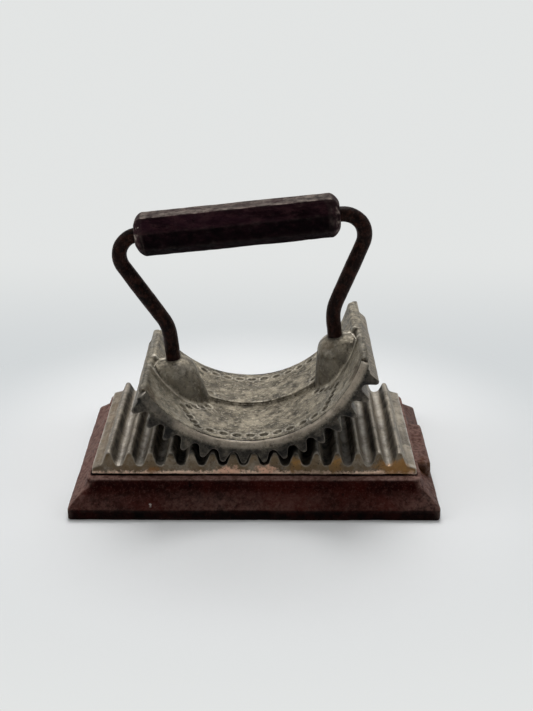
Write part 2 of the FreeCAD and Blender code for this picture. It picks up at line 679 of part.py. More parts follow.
def make_saddle():
    body = new_body("saddle", ROCKER_PLACE)
    section = new_sketch(body, "saddle_section", "YZ_Plane")
    back = "(%s - Sizes.back_margin)" % SADDLE_HALF
    draw_ring(section, [
        (minus(SADDLE_HALF), minus(LIP_RADIUS)),
        (SADDLE_HALF, minus(LIP_RADIUS)),
        (SADDLE_HALF, minus(RIM_RADIUS)),
        (back, minus(RIM_RADIUS)),
        (back, minus(BACK_RADIUS)),
        ("Sizes.step_offset", minus(BACK_RADIUS)),
        ("Sizes.step_offset", minus(RIM_RADIUS)),
        (minus(SADDLE_HALF), minus(RIM_RADIUS)),
    ])
    revolve(body, "saddle_ring", section, SADDLE_HALF_ANGLE + " * 2")
    rim = number(RIM_RADIUS)
    top = number(BACK_RADIUS)
    step = number("Sizes.step_offset")
    back_edge = number(back)
    round_edges(body, "step_foot", "Sizes.step_foot_radius",
                lambda p: near(p.y, step) and near(radius_at(p), rim))
    round_edges(body, "back_edge", "Sizes.back_rounding",
                lambda p: near(p.y, back_edge) and near(radius_at(p), top))

    add_bosses(body)
    trim = new_sketch(body, "trim_section", "YZ_Plane")
    outside = "(Sizes.shoe_width / 2 + %s)" % CLEAR
    draw_rectangle(trim, minus(outside), outside, "(0 - %s - 30)" % LIP_RADIUS, minus(LIP_RADIUS))
    groove(body, "boss_trim", trim, FULL_TURN)
    seat = new_sketch(body, "seat_section", "YZ_Plane")
    draw_rectangle(seat, minus(outside), outside, "(0 - %s - %s)" % (LIP_RADIUS, CLEAR), minus(SEAT_RADIUS))
    groove(body, "shoe_seat", seat, LIP_START_ANGLE + " * 2")
    channel = new_sketch(body, "channel_section", "YZ_Plane")
    reach = "(Sizes.strip_width / 2 + Sizes.strip_clearance)"
    draw_rectangle(channel, "(Sizes.strip_offset - %s)" % reach, "(Sizes.strip_offset + %s)" % reach,
                   "(0 - %s - 1)" % SEAT_RADIUS, "(0 - %s + Sizes.strip_clearance)" % STRIP_INNER)
    sweep = "((Sizes.travel_teeth * %s + abs(Sizes.tooth_phase) + 1) * 2 + Sizes.strip_angle)" % TOOTH_ANGLE
    groove(body, "strip_channel", channel, sweep)
    for name, side in (("left", minus), ("right", str)):
        bore(body, "rod_bore_" + name, "%s * %s" % (HANDLE_PLACE, foot_place(side)),
             "(Sizes.rod_diameter / 2)", "Sizes.foot_insert * 2")
    for name, place in dowel_places():
        bore(body, "saddle_" + name, place, "(Sizes.dowel_diameter / 2)",
             DOWEL_LENGTH + " + Sizes.dowel_gap * 2")


def foot_depth(side):
    """How far below the handle's origin the rod's foot ends, on one side of the leaning handle."""
    return "((Sizes.boss_top_drop + Sizes.foot_insert - Sizes.handle_drop - %s * sin(Sizes.handle_lean))" \
        " / cos(Sizes.handle_lean))" % side("(Sizes.foot_spread / 2)")


def foot_across(side):
    return side("(Sizes.foot_spread / 2 + %s * %s)" % (foot_depth(side), LEG_SLOPE))


def foot_place(side):
    """The end of a rod foot, a small gap below it, with +Z along the leg."""
    angle = side("(-atan(%s))" % LEG_SLOPE)
    return "placement(vector(%s; 0; 0 - %s - Sizes.foot_gap); %s)" % (
        foot_across(side), foot_depth(side), UPRIGHT % angle)


def make_handle_rod():
    body = new_body("handle_rod", "%s * %s" % (ROCKER_PLACE, HANDLE_PLACE))
    path = new_sketch(body, "rod_path", "XZ_Plane")
    ends = [(foot_across(side), minus(foot_depth(side))) for side in (minus, str)]
    knee = "(Sizes.knee_spread / 2)"
    shoulder = "(Sizes.shoulder_spread / 2)"
    draw_bent_path(path, ends, [
        (minus(knee), "Sizes.knee_height", "Sizes.knee_bend"),
        (minus(shoulder), "Sizes.grip_height", "Sizes.shoulder_bend"),
        (shoulder, "Sizes.grip_height", "Sizes.shoulder_bend"),
        (knee, "Sizes.knee_height", "Sizes.knee_bend"),
    ])
    doc.recompute()
    circle = body.newObject("Sketcher::SketchObject", "rod_circle")
    circle.AttachmentSupport = [(path, "Edge1")]
    circle.MapMode = "NormalToEdge"
    circle.MapPathParameter = 0
    draw_circle(circle, "0", "0", "(Sizes.rod_diameter / 2)")
    doc.recompute()
    rod = body.newObject("PartDesign::AdditivePipe", "rod")
    rod.Profile = circle
    rod.Spine = (path, ["Edge%d" % (index + 1) for index in range(9)])
    rod.Mode = "Frenet"


def make_grip():
    body = new_body("grip", "%s * %s" % (ROCKER_PLACE, HANDLE_PLACE))
    end = new_sketch(body, "grip_end", "YZ_Plane", lift=minus("Sizes.grip_left"))
    corner = "(Sizes.grip_flats / 2 / cos(22.5))"
    corners = []
    for index in range(8):
        angle = "(%d * 45 + 22.5 + Sizes.grip_turn)" % index
        corners.append(("(%s * cos(%s))" % (corner, angle),
                        "(Sizes.grip_height + %s * sin(%s))" % (corner, angle)))
    draw_ring(end, corners)
    draw_circle(end, "0", "Sizes.grip_height", "(Sizes.rod_diameter / 2)")
    pad(body, "grip_bar", end, "Sizes.grip_left + Sizes.grip_right", both_ways=False)
    doc.recompute()
    bar = body.Tip
    names = []
    for index, edge in enumerate(bar.Shape.Edges, start=1):
        if len(edge.Vertexes) < 2:
            continue
        places = [vertex.Point.x for vertex in edge.Vertexes]
        if near(places[0], places[1]):
            names.append("Edge%d" % index)
    bevel = body.newObject("PartDesign::Chamfer", "grip_bevels")
    bevel.Base = (bar, names)
    bevel.ChamferType = "Two distances"
    bind(bevel, Size="Sizes.grip_bevel_length", Size2="Sizes.grip_bevel_depth")


def make_strip():
    """The strip that travels along with the rolling axis without turning, inside the saddle's channel."""
    body = new_body("rocking_strip", "placement(vector(%s; 0; %s); %s)" % (REST_SHIFT, AXIS_HEIGHT, UPRIGHT % "0"))
    section = new_sketch(body, "strip_section", "YZ_Plane")
    half = "(Sizes.strip_width / 2)"
    draw_rectangle(section, "(Sizes.strip_offset - %s)" % half, "(Sizes.strip_offset + %s)" % half,
                   minus(STRIP_OUTER), minus(STRIP_INNER))
    revolve(body, "strip", section, "Sizes.strip_angle")


def check_document():
    """Stops when any object failed, or a sub-part has no valid solid."""
    doc.recompute()
    for item in doc.Objects:
        if "Invalid" in item.State or "Error" in item.State:
            raise ValueError("%s is %s" % (item.Label, item.State))
    bodies = [item for item in doc.Objects if item.TypeId == "PartDesign::Body"]
    for body in bodies:
        if body.Shape.isNull() or not body.Shape.isValid() or len(body.Shape.Solids) != 1:
            raise ValueError("%s is not one valid solid" % body.Label)
    return bodies


def main():
    make_base()
    make_pin("locating_pin_left", minus)
    make_pin("locating_pin_right", str)
    make_plate()
    make_shoe()
    make_dowels()
    make_saddle()
    make_handle_rod()
    make_grip()
    make_strip()
    os.makedirs("parts", exist_ok=True)
    for body in check_document():
        body.Shape.exportStep("parts/%s.step" % body.Label)
        box = body.Shape.BoundBox
        print("%-20s volume %9.1f  x %7.2f %7.2f  y %7.2f %7.2f  z %7.2f %7.2f" % (
            body.Label, body.Shape.Volume, box.XMin, box.XMax, box.YMin, box.YMax, box.ZMin, box.ZMax))


main()
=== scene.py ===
import json
import math

import bmesh
import bpy
import numpy as np
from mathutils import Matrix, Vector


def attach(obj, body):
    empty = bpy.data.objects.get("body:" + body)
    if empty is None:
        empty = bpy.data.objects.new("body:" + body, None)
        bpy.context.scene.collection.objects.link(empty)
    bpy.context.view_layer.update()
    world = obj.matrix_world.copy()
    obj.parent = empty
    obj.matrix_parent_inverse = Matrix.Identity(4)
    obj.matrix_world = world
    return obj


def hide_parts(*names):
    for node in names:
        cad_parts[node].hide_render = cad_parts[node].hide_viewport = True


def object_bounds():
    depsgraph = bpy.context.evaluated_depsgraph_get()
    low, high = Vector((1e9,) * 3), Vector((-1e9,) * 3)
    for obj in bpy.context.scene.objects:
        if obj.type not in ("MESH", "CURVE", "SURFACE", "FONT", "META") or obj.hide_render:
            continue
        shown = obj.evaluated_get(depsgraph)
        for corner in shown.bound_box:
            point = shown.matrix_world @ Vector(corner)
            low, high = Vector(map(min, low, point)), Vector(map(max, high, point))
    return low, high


# Fluting iron: the looks of its castings, rod and grip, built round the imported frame.
# Shapes are worked out in millimetres and go into the meshes in metres.

print("frame: loading the packed model")
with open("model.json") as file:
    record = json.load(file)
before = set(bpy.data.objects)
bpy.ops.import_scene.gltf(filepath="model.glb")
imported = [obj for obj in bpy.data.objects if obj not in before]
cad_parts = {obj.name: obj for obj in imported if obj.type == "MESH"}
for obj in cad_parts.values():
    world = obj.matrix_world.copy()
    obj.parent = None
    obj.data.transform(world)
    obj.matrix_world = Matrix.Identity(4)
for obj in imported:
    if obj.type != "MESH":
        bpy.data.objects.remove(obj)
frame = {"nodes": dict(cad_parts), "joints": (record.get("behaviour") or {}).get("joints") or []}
frameLow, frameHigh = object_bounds()

mm = 0.001
rollJoint = next(joint for joint in frame["joints"] if joint["name"] == "rocker_roll")
rollCentre = np.array(rollJoint["pos_m"]) / mm
rockerTilt = math.radians(8.839)    # how far the rocker rests rolled over, right end up


# Noise and soft steps, worked out on whole arrays

def cellRandom(cell, seed):
    # a number from 0 to 1 for each lattice corner, from its three whole numbers mixed together
    mixed = cell[..., 0] * 374761393 + cell[..., 1] * 668265263 + cell[..., 2] * 912931729 + seed * 97003
    mixed = (mixed ^ (mixed >> 13)) * 1274126177
    mixed = mixed ^ (mixed >> 16)
    return (mixed & 0xFFFFFF) / 0xFFFFFF


def smoothNoise(points, size, seed):
    # random values at the corners of a cubic lattice, blended by the eased place inside each cell; -1 to 1
    place = points / size
    cell = np.floor(place).astype(np.int64)
    part = place - cell
    part = part * part * (3 - 2 * part)
    total = np.zeros(points.shape[:-1])
    for corner in np.ndindex(2, 2, 2):
        share = np.prod(np.where(corner, part, 1 - part), axis=-1)
        total += share * cellRandom(cell + corner, seed)
    return total * 2 - 1


def eased(value, low, high):
    # 0 below low, 1 above high, and an s-curve between them
    part = np.clip((value - low) / (high - low), 0, 1)
    return part * part * (3 - 2 * part)


def blotches(places, size, seed, low, high, stretch=(1, 1, 1)):
    # patches with soft edges: noise of one size, eased from 0 to 1 between two of its levels
    return eased(smoothNoise(places * stretch, size, seed), low, high)


def stripe(value, middle, width):
    # a bell curve: 1 on the middle, next to nothing two widths away
    return np.exp(-((value - middle) / width) ** 2)


# Outlines: short rows of points that profiles are put together from

def run(start, end, count):
    # points evenly along a straight line, without its end
    share = np.linspace(0, 1, count + 1)[:-1, None]
    return np.asarray(start, float) * (1 - share) + np.asarray(end, float) * share


def bow(centre, radius, first, last, count):
    # points along an arc: the centre plus the radius turned from the first angle to the last, in degrees
    turn = np.radians(np.linspace(first, last, count))
    return np.stack([centre[0] + radius * np.cos(turn), centre[1] + radius * np.sin(turn)], axis=-1)


def wave(crest, crestRadius, valley, valleyRadius, valleyTurn, counts):
    # half a flute: down the crest's arc, along the flank that touches both circles, and into the valley's arc
    between = np.subtract(valley, crest)
    reach = math.hypot(*between)
    flank = math.atan2(between[1], between[0]) - math.asin((crestRadius + valleyRadius) / reach)
    normal = math.degrees(flank) + 90
    top = bow(crest, crestRadius, 90, normal, counts[0])
    bottom = bow(valley, valleyRadius, normal + 180, 270 - valleyTurn, counts[2])
    return np.vstack([top, run(top[-1], bottom[0], counts[1])[1:], bottom])


def repeated(half, count, pitch, shift=0):
    # a half wave mirrored into a whole one, and copies of that side by side, centred on the shift
    whole = np.vstack([half[::-1] * (-1, 1), half[1:]])[:-1]
    return np.vstack([whole + ((step - (count - 1) / 2) * pitch + shift, 0) for step in range(count)])


def wholeSection(places, stations):
    # closed sections from the (y, height) places down one half, whose values are one for all stations or one
    # for each: the front half is the mirror image, and the back half leads back to the start
    pairs = [np.stack(np.broadcast_arrays(*place, stations)[:2], axis=-1) for place in places]
    half = np.stack(pairs, axis=1)
    return np.concatenate([half * (-1, 1), half[:, -2:0:-1]], axis=1)


def overTop(wide, edge, top, rowStep, reach):
    # places round the edge between side and top, a quarter turn of the edge's radius, then in to the middle
    places = [(wide - edge * (1 - math.cos(a)), top - edge + edge * math.sin(a))
              for a in np.radians((30, 60, 90))]
    count = round(reach / rowStep)
    return places + [((wide - edge) * share, top) for share in np.linspace(1, 0, count + 1)[1:]]


# The rocker is drawn level about its rolling axis

def turned(points, angle):
    # about y: x times the cosine less z times the sine, and x times the sine plus z times the cosine
    x, y, z = np.moveaxis(points, -1, 0)
    cosine, sine = math.cos(angle), math.sin(angle)
    return np.stack([x * cosine - z * sine, y, x * sine + z * cosine], axis=-1)


def placeRocker(points):
    # from the level rocker to the resting one: turned over by the tilt, then moved
    return turned(points, rockerTilt) + rollCentre


def levelRocker(places):
    # the other way round
    return turned(places - rollCentre, -rockerTilt)


def polar(radius, angle, y):
    # a point at a radius from the rolling axis, an angle in degrees to the right of straight down
    turn = np.radians(angle)
    return np.stack(np.broadcast_arrays(radius * np.sin(turn), y, -radius * np.cos(turn)), axis=-1)


def toPolar(places):
    # the other way round, from a place on the resting rocker
    x, y, z = np.moveaxis(levelRocker(places), -1, 0)
    return np.hypot(x, z), np.degrees(np.arctan2(x, -z)), y


# Meshes

def quads(rows, columns, first=0, closed=True):
    # faces between neighbouring rows and columns of a grid whose points are numbered row by row
    i = np.arange(rows - 1)[:, None]
    j = np.arange(columns if closed else columns - 1)[None, :]
    after = (j + 1) % columns
    corners = [i * columns + j, i * columns + after, (i + 1) * columns + after, (i + 1) * columns + j]
    return (np.stack(corners, axis=-1).reshape(-1, 4) + first).tolist()


def meshArrays(mesh):
    # the points in millimetres and their normals
    arrays = []
    for source, label in ((mesh.vertices, "co"), (mesh.vertex_normals, "vector")):
        values = np.empty(len(mesh.vertices) * 3, np.float32)
        source.foreach_get(label, values)
        arrays.append(values.reshape(-1, 3).astype(float))
    return arrays[0] / mm, arrays[1]


def relief(mesh, places, normals, rounds):
    # how far each point stands out of its surroundings, in mm: the point less its neighbours' mean, taken
    # several times over so that the surroundings grow, and measured along the normal
    edges = np.empty(len(mesh.edges) * 2, np.int32)
    mesh.edges.foreach_get("vertices", edges)
    a, b = edges.reshape(-1, 2).T
    weight = 1 / np.maximum(np.linalg.norm(places[a] - places[b], axis=1), 0.05)
    total = np.bincount(a, weight, len(places)) + np.bincount(b, weight, len(places))
    blurred = places.copy()
    for step in range(rounds):
        summed = np.stack([np.bincount(a, weight * blurred[b, k], len(places))
                           + np.bincount(b, weight * blurred[a, k], len(places)) for k in range(3)], axis=-1)
        blurred = 0.5 * blurred + 0.5 * summed / total[:, None]
    return np.einsum("ij,ij->i", places - blurred, normals)


def addObject(name, data):
    # an object for a mesh, a lamp or a camera, put in the scene
    made = bpy.data.objects.new(name, data)
    bpy.context.scene.collection.objects.link(made)
    return made


def buildPiece(name, shells, body, material, nodes, look, marksAt):
    # one closed mesh from several grids, roughened like a casting and worn along its edges; marksAt gives
    # the dirt, the rubbed places and the bare skin that don't come from the shape, and painted light and
    # shade
    points, faces, first = [], [], 0
    for shell, capped in shells:
        rows, columns = shell.shape[:2]
        points.append(shell.reshape(-1, 3))
        faces += quads(rows, columns, first)
        if capped:
            faces.append(list(range(first + columns - 1, first - 1, -1)))
            faces.append(list(range(first + (rows - 1) * columns, first + rows * columns)))
        first += rows * columns
    mesh = bpy.data.meshes.new(name)
    mesh.from_pydata((np.vstack(points) * mm).tolist(), [], faces)
    tidy = bmesh.new()
    tidy.from_mesh(mesh)
    bmesh.ops.remove_doubles(tidy, verts=tidy.verts, dist=2e-6)
    bmesh.ops.dissolve_degenerate(tidy, edges=tidy.edges, dist=1e-7)
    bmesh.ops.recalc_face_normals(tidy, faces=tidy.faces)
    tidy.to_mesh(mesh)
    tidy.free()

    places, normals = meshArrays(mesh)
    standing = relief(mesh, places, normals, look["rounds"])
    uneven = 0.55 + 0.45 * smoothNoise(places, look["wearSize"], look["seed"])
    moved = -look["wear"] * eased(standing, 0.02, look["wearReach"]) * uneven
    for step, (size, depth) in enumerate(look["bumps"]):
        moved += depth * smoothNoise(places, size, look["seed"] + 1 + step)
    for size, depth, share in look["pits"]:
        moved -= depth * blotches(places, size, look["seed"] + 31, 1 - share, 1)
    places = np.clip(places + normals * moved[:, None], np.array(frameLow) / mm, np.array(frameHigh) / mm)
    mesh.vertices.foreach_set("co", (places * mm).astype(np.float32).ravel())
    mesh.update()

    places, normals = meshArrays(mesh)
    standing = relief(mesh, places, normals, look["rounds"])
    marks = dict(worn=look["edges"] * eased(standing, 0.0, look["wearReach"]),
                 grime=look["hollows"] * eased(-standing, 0.0, look["wearReach"]), bare=np.zeros(len(places)))
    for label, values in marksAt(places, normals).items():
        marks[label] = np.maximum(marks[label], values)
    for label, values in marks.items():
        mesh.attributes.new(label, "FLOAT", "POINT").data.foreach_set("value", values.astype(np.float32))
    mesh.polygons.foreach_set("use_smooth", np.ones(len(mesh.polygons), bool))
    mesh.materials.append(material)
    piece = addObject(name, mesh)
    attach(piece, body)
    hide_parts(*nodes)
    print("piece: %s, %d points" % (name, len(mesh.vertices)))


# Nodes

def addNode(tree, kind, links=None, **settings):
    # a node with its settings, and its inputs given as values or as sockets to link from
    node = tree.nodes.new(kind)
    for key, value in settings.items():
        setattr(node, key, value)
    for key, value in (links or {}).items():
        socket = node.inputs[key]
        if isinstance(value, bpy.types.NodeSocket):
            tree.links.new(value, socket)
        else:
            socket.default_value = (*value, 1) if socket.type == "RGBA" else value
    return node


def calculate(tree, operation, *values, clamp=False):
    # one step of arithmetic on sockets or numbers
    node = addNode(tree, "ShaderNodeMath", dict(enumerate(values)), operation=operation, use_clamp=clamp)
    return node.outputs[0]


def product(tree, first, second, clamp=False):
    # one value times another
    return calculate(tree, "MULTIPLY", first, second, clamp=clamp)


def onVector(tree, operation, *values):
    # one step on vectors, a number for LENGTH and a vector for the rest
    node = addNode(tree, "ShaderNodeVectorMath", dict(enumerate(values)), operation=operation)
    return node.outputs["Value" if operation == "LENGTH" else "Vector"]


def blend(tree, share, first, second):
    # the first colour where the share is 0, the second where it is 1
    return addNode(tree, "ShaderNodeMix", {0: share, 6: first, 7: second}, data_type="RGBA").outputs[2]


def spread(tree, value, low, high, outLow=0.0, outHigh=1.0):
    # stretches the range from low to high over another range, with an s-curve
    return addNode(tree, "ShaderNodeMapRange", {0: value, 1: low, 2: high, 3: outLow, 4: outHigh},
                   interpolation_type="SMOOTHSTEP").outputs[0]


def noiseAt(tree, vector, scale, detail, roughness):
    # fractal noise about one half, so many patches to the metre
    return addNode(tree, "ShaderNodeTexNoise", {"Vector": vector, "Scale": scale, "Detail": detail,
                                                "Roughness": roughness}).outputs["Fac"]


def objectPlace(tree):
    # where on the object a point is, in metres
    return addNode(tree, "ShaderNodeTexCoord").outputs["Object"]


# Shader groups that the finishes share; they put out values and masks

def newGroup(name, inputs, outputs):
    # a group with its inputs and their first values; gives the sockets to read from and to link to
    group = bpy.data.node_groups.new(name, "ShaderNodeTree")
    for label, value in inputs.items():
        kind = "NodeSocketVector" if isinstance(value, tuple) else "NodeSocketFloat"
        socket = group.interface.new_socket(name=label, in_out="INPUT", socket_type=kind)
        socket.default_value = value
    for label in outputs:
        group.interface.new_socket(name=label, in_out="OUTPUT", socket_type="NodeSocketFloat")
    return group, group.nodes.new("NodeGroupInput").outputs, group.nodes.new("NodeGroupOutput").inputs


def makeCastGrain():
    # sand-cast skin: lumps, and small round pits where a finer noise is highest
    group, given, out = newGroup("castGrain", {"Lump Scale": 420.0, "Pit Scale": 900.0}, ["Height", "Pits"])
    vector = objectPlace(group)
    lumps = noiseAt(group, vector, given["Lump Scale"], 5.0, 0.6)
    pits = spread(group, noiseAt(group, vector, given["Pit Scale"], 2.0, 0.5), 0.60, 0.74)
    group.links.new(calculate(group, "SUBTRACT", lumps, product(group, pits, 0.45)), out["Height"])
    group.links.new(pits, out["Pits"])
    return group


def makeStoredMask(name, stored, low, high):
    # a mask kept on the points, broken up by noise that is stretched between low and high
    group, given, out = newGroup(name, {"Amount": 1.0, "Patch Scale": 160.0}, ["Mask"])
    kept = addNode(group, "ShaderNodeAttribute", attribute_name=stored).outputs["Fac"]
    broken = noiseAt(group, objectPlace(group), given["Patch Scale"], 5.0, 0.65)
    share = product(group, spread(group, broken, 0.30, 0.68, low, high), given["Amount"])
    group.links.new(product(group, kept, share, clamp=True), out["Mask"])
    return group


def makeStain():
    # a soft round stain about one place, with a ragged edge
    group, given, out = newGroup("stain", {"Centre": (0, 0, 0), "Stretch": (1, 1, 1), "Reach": 0.01,
                                           "Amount": 1.0, "Edge Scale": 260.0}, ["Mask"])
    vector = objectPlace(group)
    offset = onVector(group, "SUBTRACT", vector, given["Centre"])
    offset = onVector(group, "MULTIPLY", offset, given["Stretch"])
    share = calculate(group, "DIVIDE", onVector(group, "LENGTH", offset), given["Reach"])
    ragged = spread(group, noiseAt(group, vector, given["Edge Scale"], 5.0, 0.65), 0.25, 0.75, -0.45, 0.45)
    inside = spread(group, calculate(group, "ADD", share, ragged), 1.1, 0.45)
    group.links.new(product(group, inside, given["Amount"], clamp=True), out["Mask"])
    return group


def useGroup(tree, group, **values):
    # places a group, with its inputs named in camelCase
    node = addNode(tree, "ShaderNodeGroup", node_tree=group)
    for socket in node.inputs:
        key = socket.name[0].lower() + socket.name[1:].replace(" ", "")
        if key in values:
            socket.default_value = values[key]
    return node.outputs


print("materials: shader groups")
castGrain = makeCastGrain()
# the stored masks carry wear, grime and bare skin, and also the painted light and shade of the marks
edgeWear = makeStoredMask("edgeWear", "worn", 0.15, 1.1)
settledGrime = makeStoredMask("settledGrime", "grime", 0.55, 1.1)
bareSkin = makeStoredMask("bareSkin", "bare", 0.25, 1.1)
raggedStain = makeStain()


# Finishes. Each piece's look starts from this one. The skin's own shape comes first: wear takes the edges
# down by so many mm, bumps are (size, depth), and pits are (size, depth, share). Then come the layers of
# colour, each (tone, scale of its noise, amount), and stains, each (place, reach, tone, amount, stretch).

castLook = dict(
    rounds=3, edges=1.0, hollows=1.0, pits=[], grainWay=(1, 1, 1), metal=0.0, wearMetal=0.0, wearShine=0.0,
    pitShade=0.5, stains=[])
plainRound = (1, 1, 1)


def newMaterial(name):
    # a material, its nodes and its shader
    material = bpy.data.materials.new(name)
    material.use_nodes = True
    tree = material.node_tree
    return material, tree, tree.nodes["Principled BSDF"]


def ironFinish(name, look):
    # cast iron in layers: an uneven ground, mottling, flecks, bare skin and painted light, stains, pits,
    # grime in the hollows and painted shade, and rubbed metal on the edges and painted highlights, on a
    # grainy skin
    material, tree, shader = newMaterial(name)
    vector = onVector(tree, "MULTIPLY", objectPlace(tree), look["grainWay"])
    broad = spread(tree, noiseAt(tree, vector, look["broadScale"], 5.0, 0.6), 0.30, 0.70)
    colour = blend(tree, broad, look["dark"], look["light"])
    for label, detail, fine, low, high in (("mottle", 6.0, 0.7, 0.45, 0.64), ("fleck", 3.0, 0.6, 0.53, 0.66)):
        tone, scale, amount = look[label]
        share = spread(tree, noiseAt(tree, vector, scale, detail, fine), low, high, 0.0, amount)
        colour = blend(tree, share, colour, tone)

    def storedLayer(group, label, colour):
        tone, scale, amount = look[label]
        mask = useGroup(tree, group, amount=amount, patchScale=scale)["Mask"]
        return mask, blend(tree, mask, colour, tone)

    colour = storedLayer(bareSkin, "bare", colour)[1]
    for at, reach, tone, amount, stretch in look["stains"]:
        mask = useGroup(tree, raggedStain, centre=np.array(at) * mm, stretch=stretch, reach=reach * mm,
                        amount=amount, edgeScale=900 / reach ** 0.7)["Mask"]
        colour = blend(tree, mask, colour, tone)
    grain = useGroup(tree, castGrain, lumpScale=look["lumpScale"], pitScale=look["pitScale"])
    colour = blend(tree, product(tree, grain["Pits"], look["pitShade"]), colour, look["grime"][0])
    dirtAndShade, colour = storedLayer(settledGrime, "grime", colour)
    rubbedAndLit, colour = storedLayer(edgeWear, "worn", colour)
    tree.links.new(colour, shader.inputs["Base Color"])

    metal = calculate(tree, "SUBTRACT", look["metal"], product(tree, dirtAndShade, look["metal"]), clamp=True)
    metal = calculate(tree, "MAXIMUM", metal, product(tree, rubbedAndLit, look["wearMetal"]))
    tree.links.new(metal, shader.inputs["Metallic"])
    rough = calculate(tree, "ADD", look["roughness"], spread(tree, broad, 0.0, 1.0, -0.06, 0.08))
    rough = calculate(tree, "ADD", rough, product(tree, dirtAndShade, 0.2))
    rough = calculate(tree, "SUBTRACT", rough, product(tree, rubbedAndLit, look["wearShine"]), clamp=True)
    tree.links.new(rough, shader.inputs["Roughness"])
    shader.inputs["Specular IOR Level"].default_value = look["sheen"]
    bump = addNode(tree, "ShaderNodeBump", {"Height": grain["Height"], "Strength": look["bumpStrength"],
                                           "Distance": look["bumpDepth"] * mm})
    tree.links.new(bump.outputs["Normal"], shader.inputs["Normal"])
    return material


# Base: a moulding carried round a rectangle, with the lug on its right side and the plate's low seats

base = dict(
    halfX=74.9, halfY=47.15, foot=0.22, noseWall=1.2, noseHeight=3.9, noseRound=1.2, flareAngle=42.2,
    flareLength=6.2, coveRadius=7.0, coveAngle=84.0, platform=14.5, platformRound=0.7, gapStart=8.4,
    gapEnd=12.2, noseCorner=1.8, platformCorner=3.2, steps=(150, 94, 7))
lug = dict(
    centre=(67.4, -4.5), halfX=6.9, halfY=19.0, bottom=0.06, top=12.8, draft=0.5, round=1.5, corner=1.8,
    steps=(10, 36, 4), profileSteps=(5, 9, 6, 4))
seat = dict(
    centre=(57.8, 30.8), halfX=6.0, halfY=3.5, bottom=13.9, top=14.82, draft=0.0, round=0.35, corner=0.8,
    steps=(12, 7, 3), profileSteps=(3, 3, 4, 3))
baseLook = dict(
    castLook, seed=11, wear=0.22, wearReach=0.16, wearSize=5.0,
    bumps=[(16.0, 0.14), (5.0, 0.08), (2.2, 0.05)], pits=[(3.0, 0.2, 0.35)],
    dark=(0.004, 0.0006, 0.0005), light=(0.04, 0.0046, 0.0026), broadScale=60.0,
    mottle=((0.04, 0.0085, 0.0065), 520.0, 0.6), fleck=((0.17, 0.095, 0.08), 1300.0, 0.16),
    bare=((0.22, 0.13, 0.108), 520.0, 1.0), grime=((0.003, 0.002, 0.002), 220.0, 0.9),
    worn=((0.19, 0.13, 0.11), 520.0, 0.8), roughness=0.5, sheen=0.02,
    lumpScale=520.0, pitScale=1000.0, bumpStrength=0.8, bumpDepth=0.45,
    stains=[((73.5, -22, 10.5), 5.5, (0.075, 0.03, 0.012), 0.85, plainRound),    # rust, lug's end
            ((-43, -46, 7.7), 0.8, (0.6, 0.55, 0.5), 0.9, plainRound),    # chips to bare metal
            ((-41.4, -46, 6.3), 0.9, (0.65, 0.6, 0.55), 0.9, plainRound),
            ((-56.4, -43.5, 13), 0.8, (0.6, 0.56, 0.52), 0.9, plainRound),
            ((15, -46, 7.0), 0.8, (0.5, 0.45, 0.42), 0.8, plainRound)])


def roundedRings(profile, sizes, corner, centre=(0, 0)):
    # rounded rectangles, one for each (inset, height) of the profile: four quarter turns about the corners'
    # centres, joined by straight runs that keep the same share of each side from ring to ring
    inset, height = profile[:, :1], profile[:, 1:]
    stepsX, stepsY, stepsArc = sizes["steps"]
    sideX, sideY = np.maximum(sizes["halfX"] - inset, 0), np.maximum(sizes["halfY"] - inset, 0)
    bend = np.minimum(np.reshape(corner, (-1, 1)), np.minimum(sideX, sideY))
    arcs = []
    for turn, (signX, signY) in enumerate(((1, 1), (-1, 1), (-1, -1), (1, -1))):
        angle = np.linspace(0, np.pi / 2, stepsArc)[None, :] + turn * np.pi / 2
        middleX, middleY = (sideX - bend) * signX, (sideY - bend) * signY
        arcs.append((middleX + bend * np.cos(angle), middleY + bend * np.sin(angle)))
    rows = []
    for turn, arc in enumerate(arcs):
        share = np.linspace(0, 1, (stepsY if turn % 2 else stepsX) + 1)[None, 1:-1]
        sides = zip(arc, arcs[(turn + 1) % 4])
        rows += [arc, [here[:, -1:] * (1 - share) + there[:, :1] * share for here, there in sides]]
    x, y = [np.hstack(parts) + middle for parts, middle in zip(zip(*rows), centre)]
    return np.stack([x, y, np.broadcast_to(height, x.shape)], axis=-1)


def raisedBlock(block, sign=(1, 1)):
    # rings in under the block, up its drafted side, round its edge and in over its top
    reach, bottom, top = min(block["halfX"], block["halfY"]), block["bottom"], block["top"]
    draft, rounding, steps = block["draft"], block["round"], block["profileSteps"]
    profile = np.vstack([
        run((reach, bottom), (0, bottom), steps[0]),
        run((0, bottom), (draft, top - rounding), steps[1]),
        bow((draft + rounding, top - rounding), rounding, 180, 90, steps[2]),
        run((draft + rounding, top), (reach, top), steps[3])[1:],
        [(reach, top)],
    ])
    return roundedRings(profile, block, block["corner"], np.multiply(block["centre"], sign))


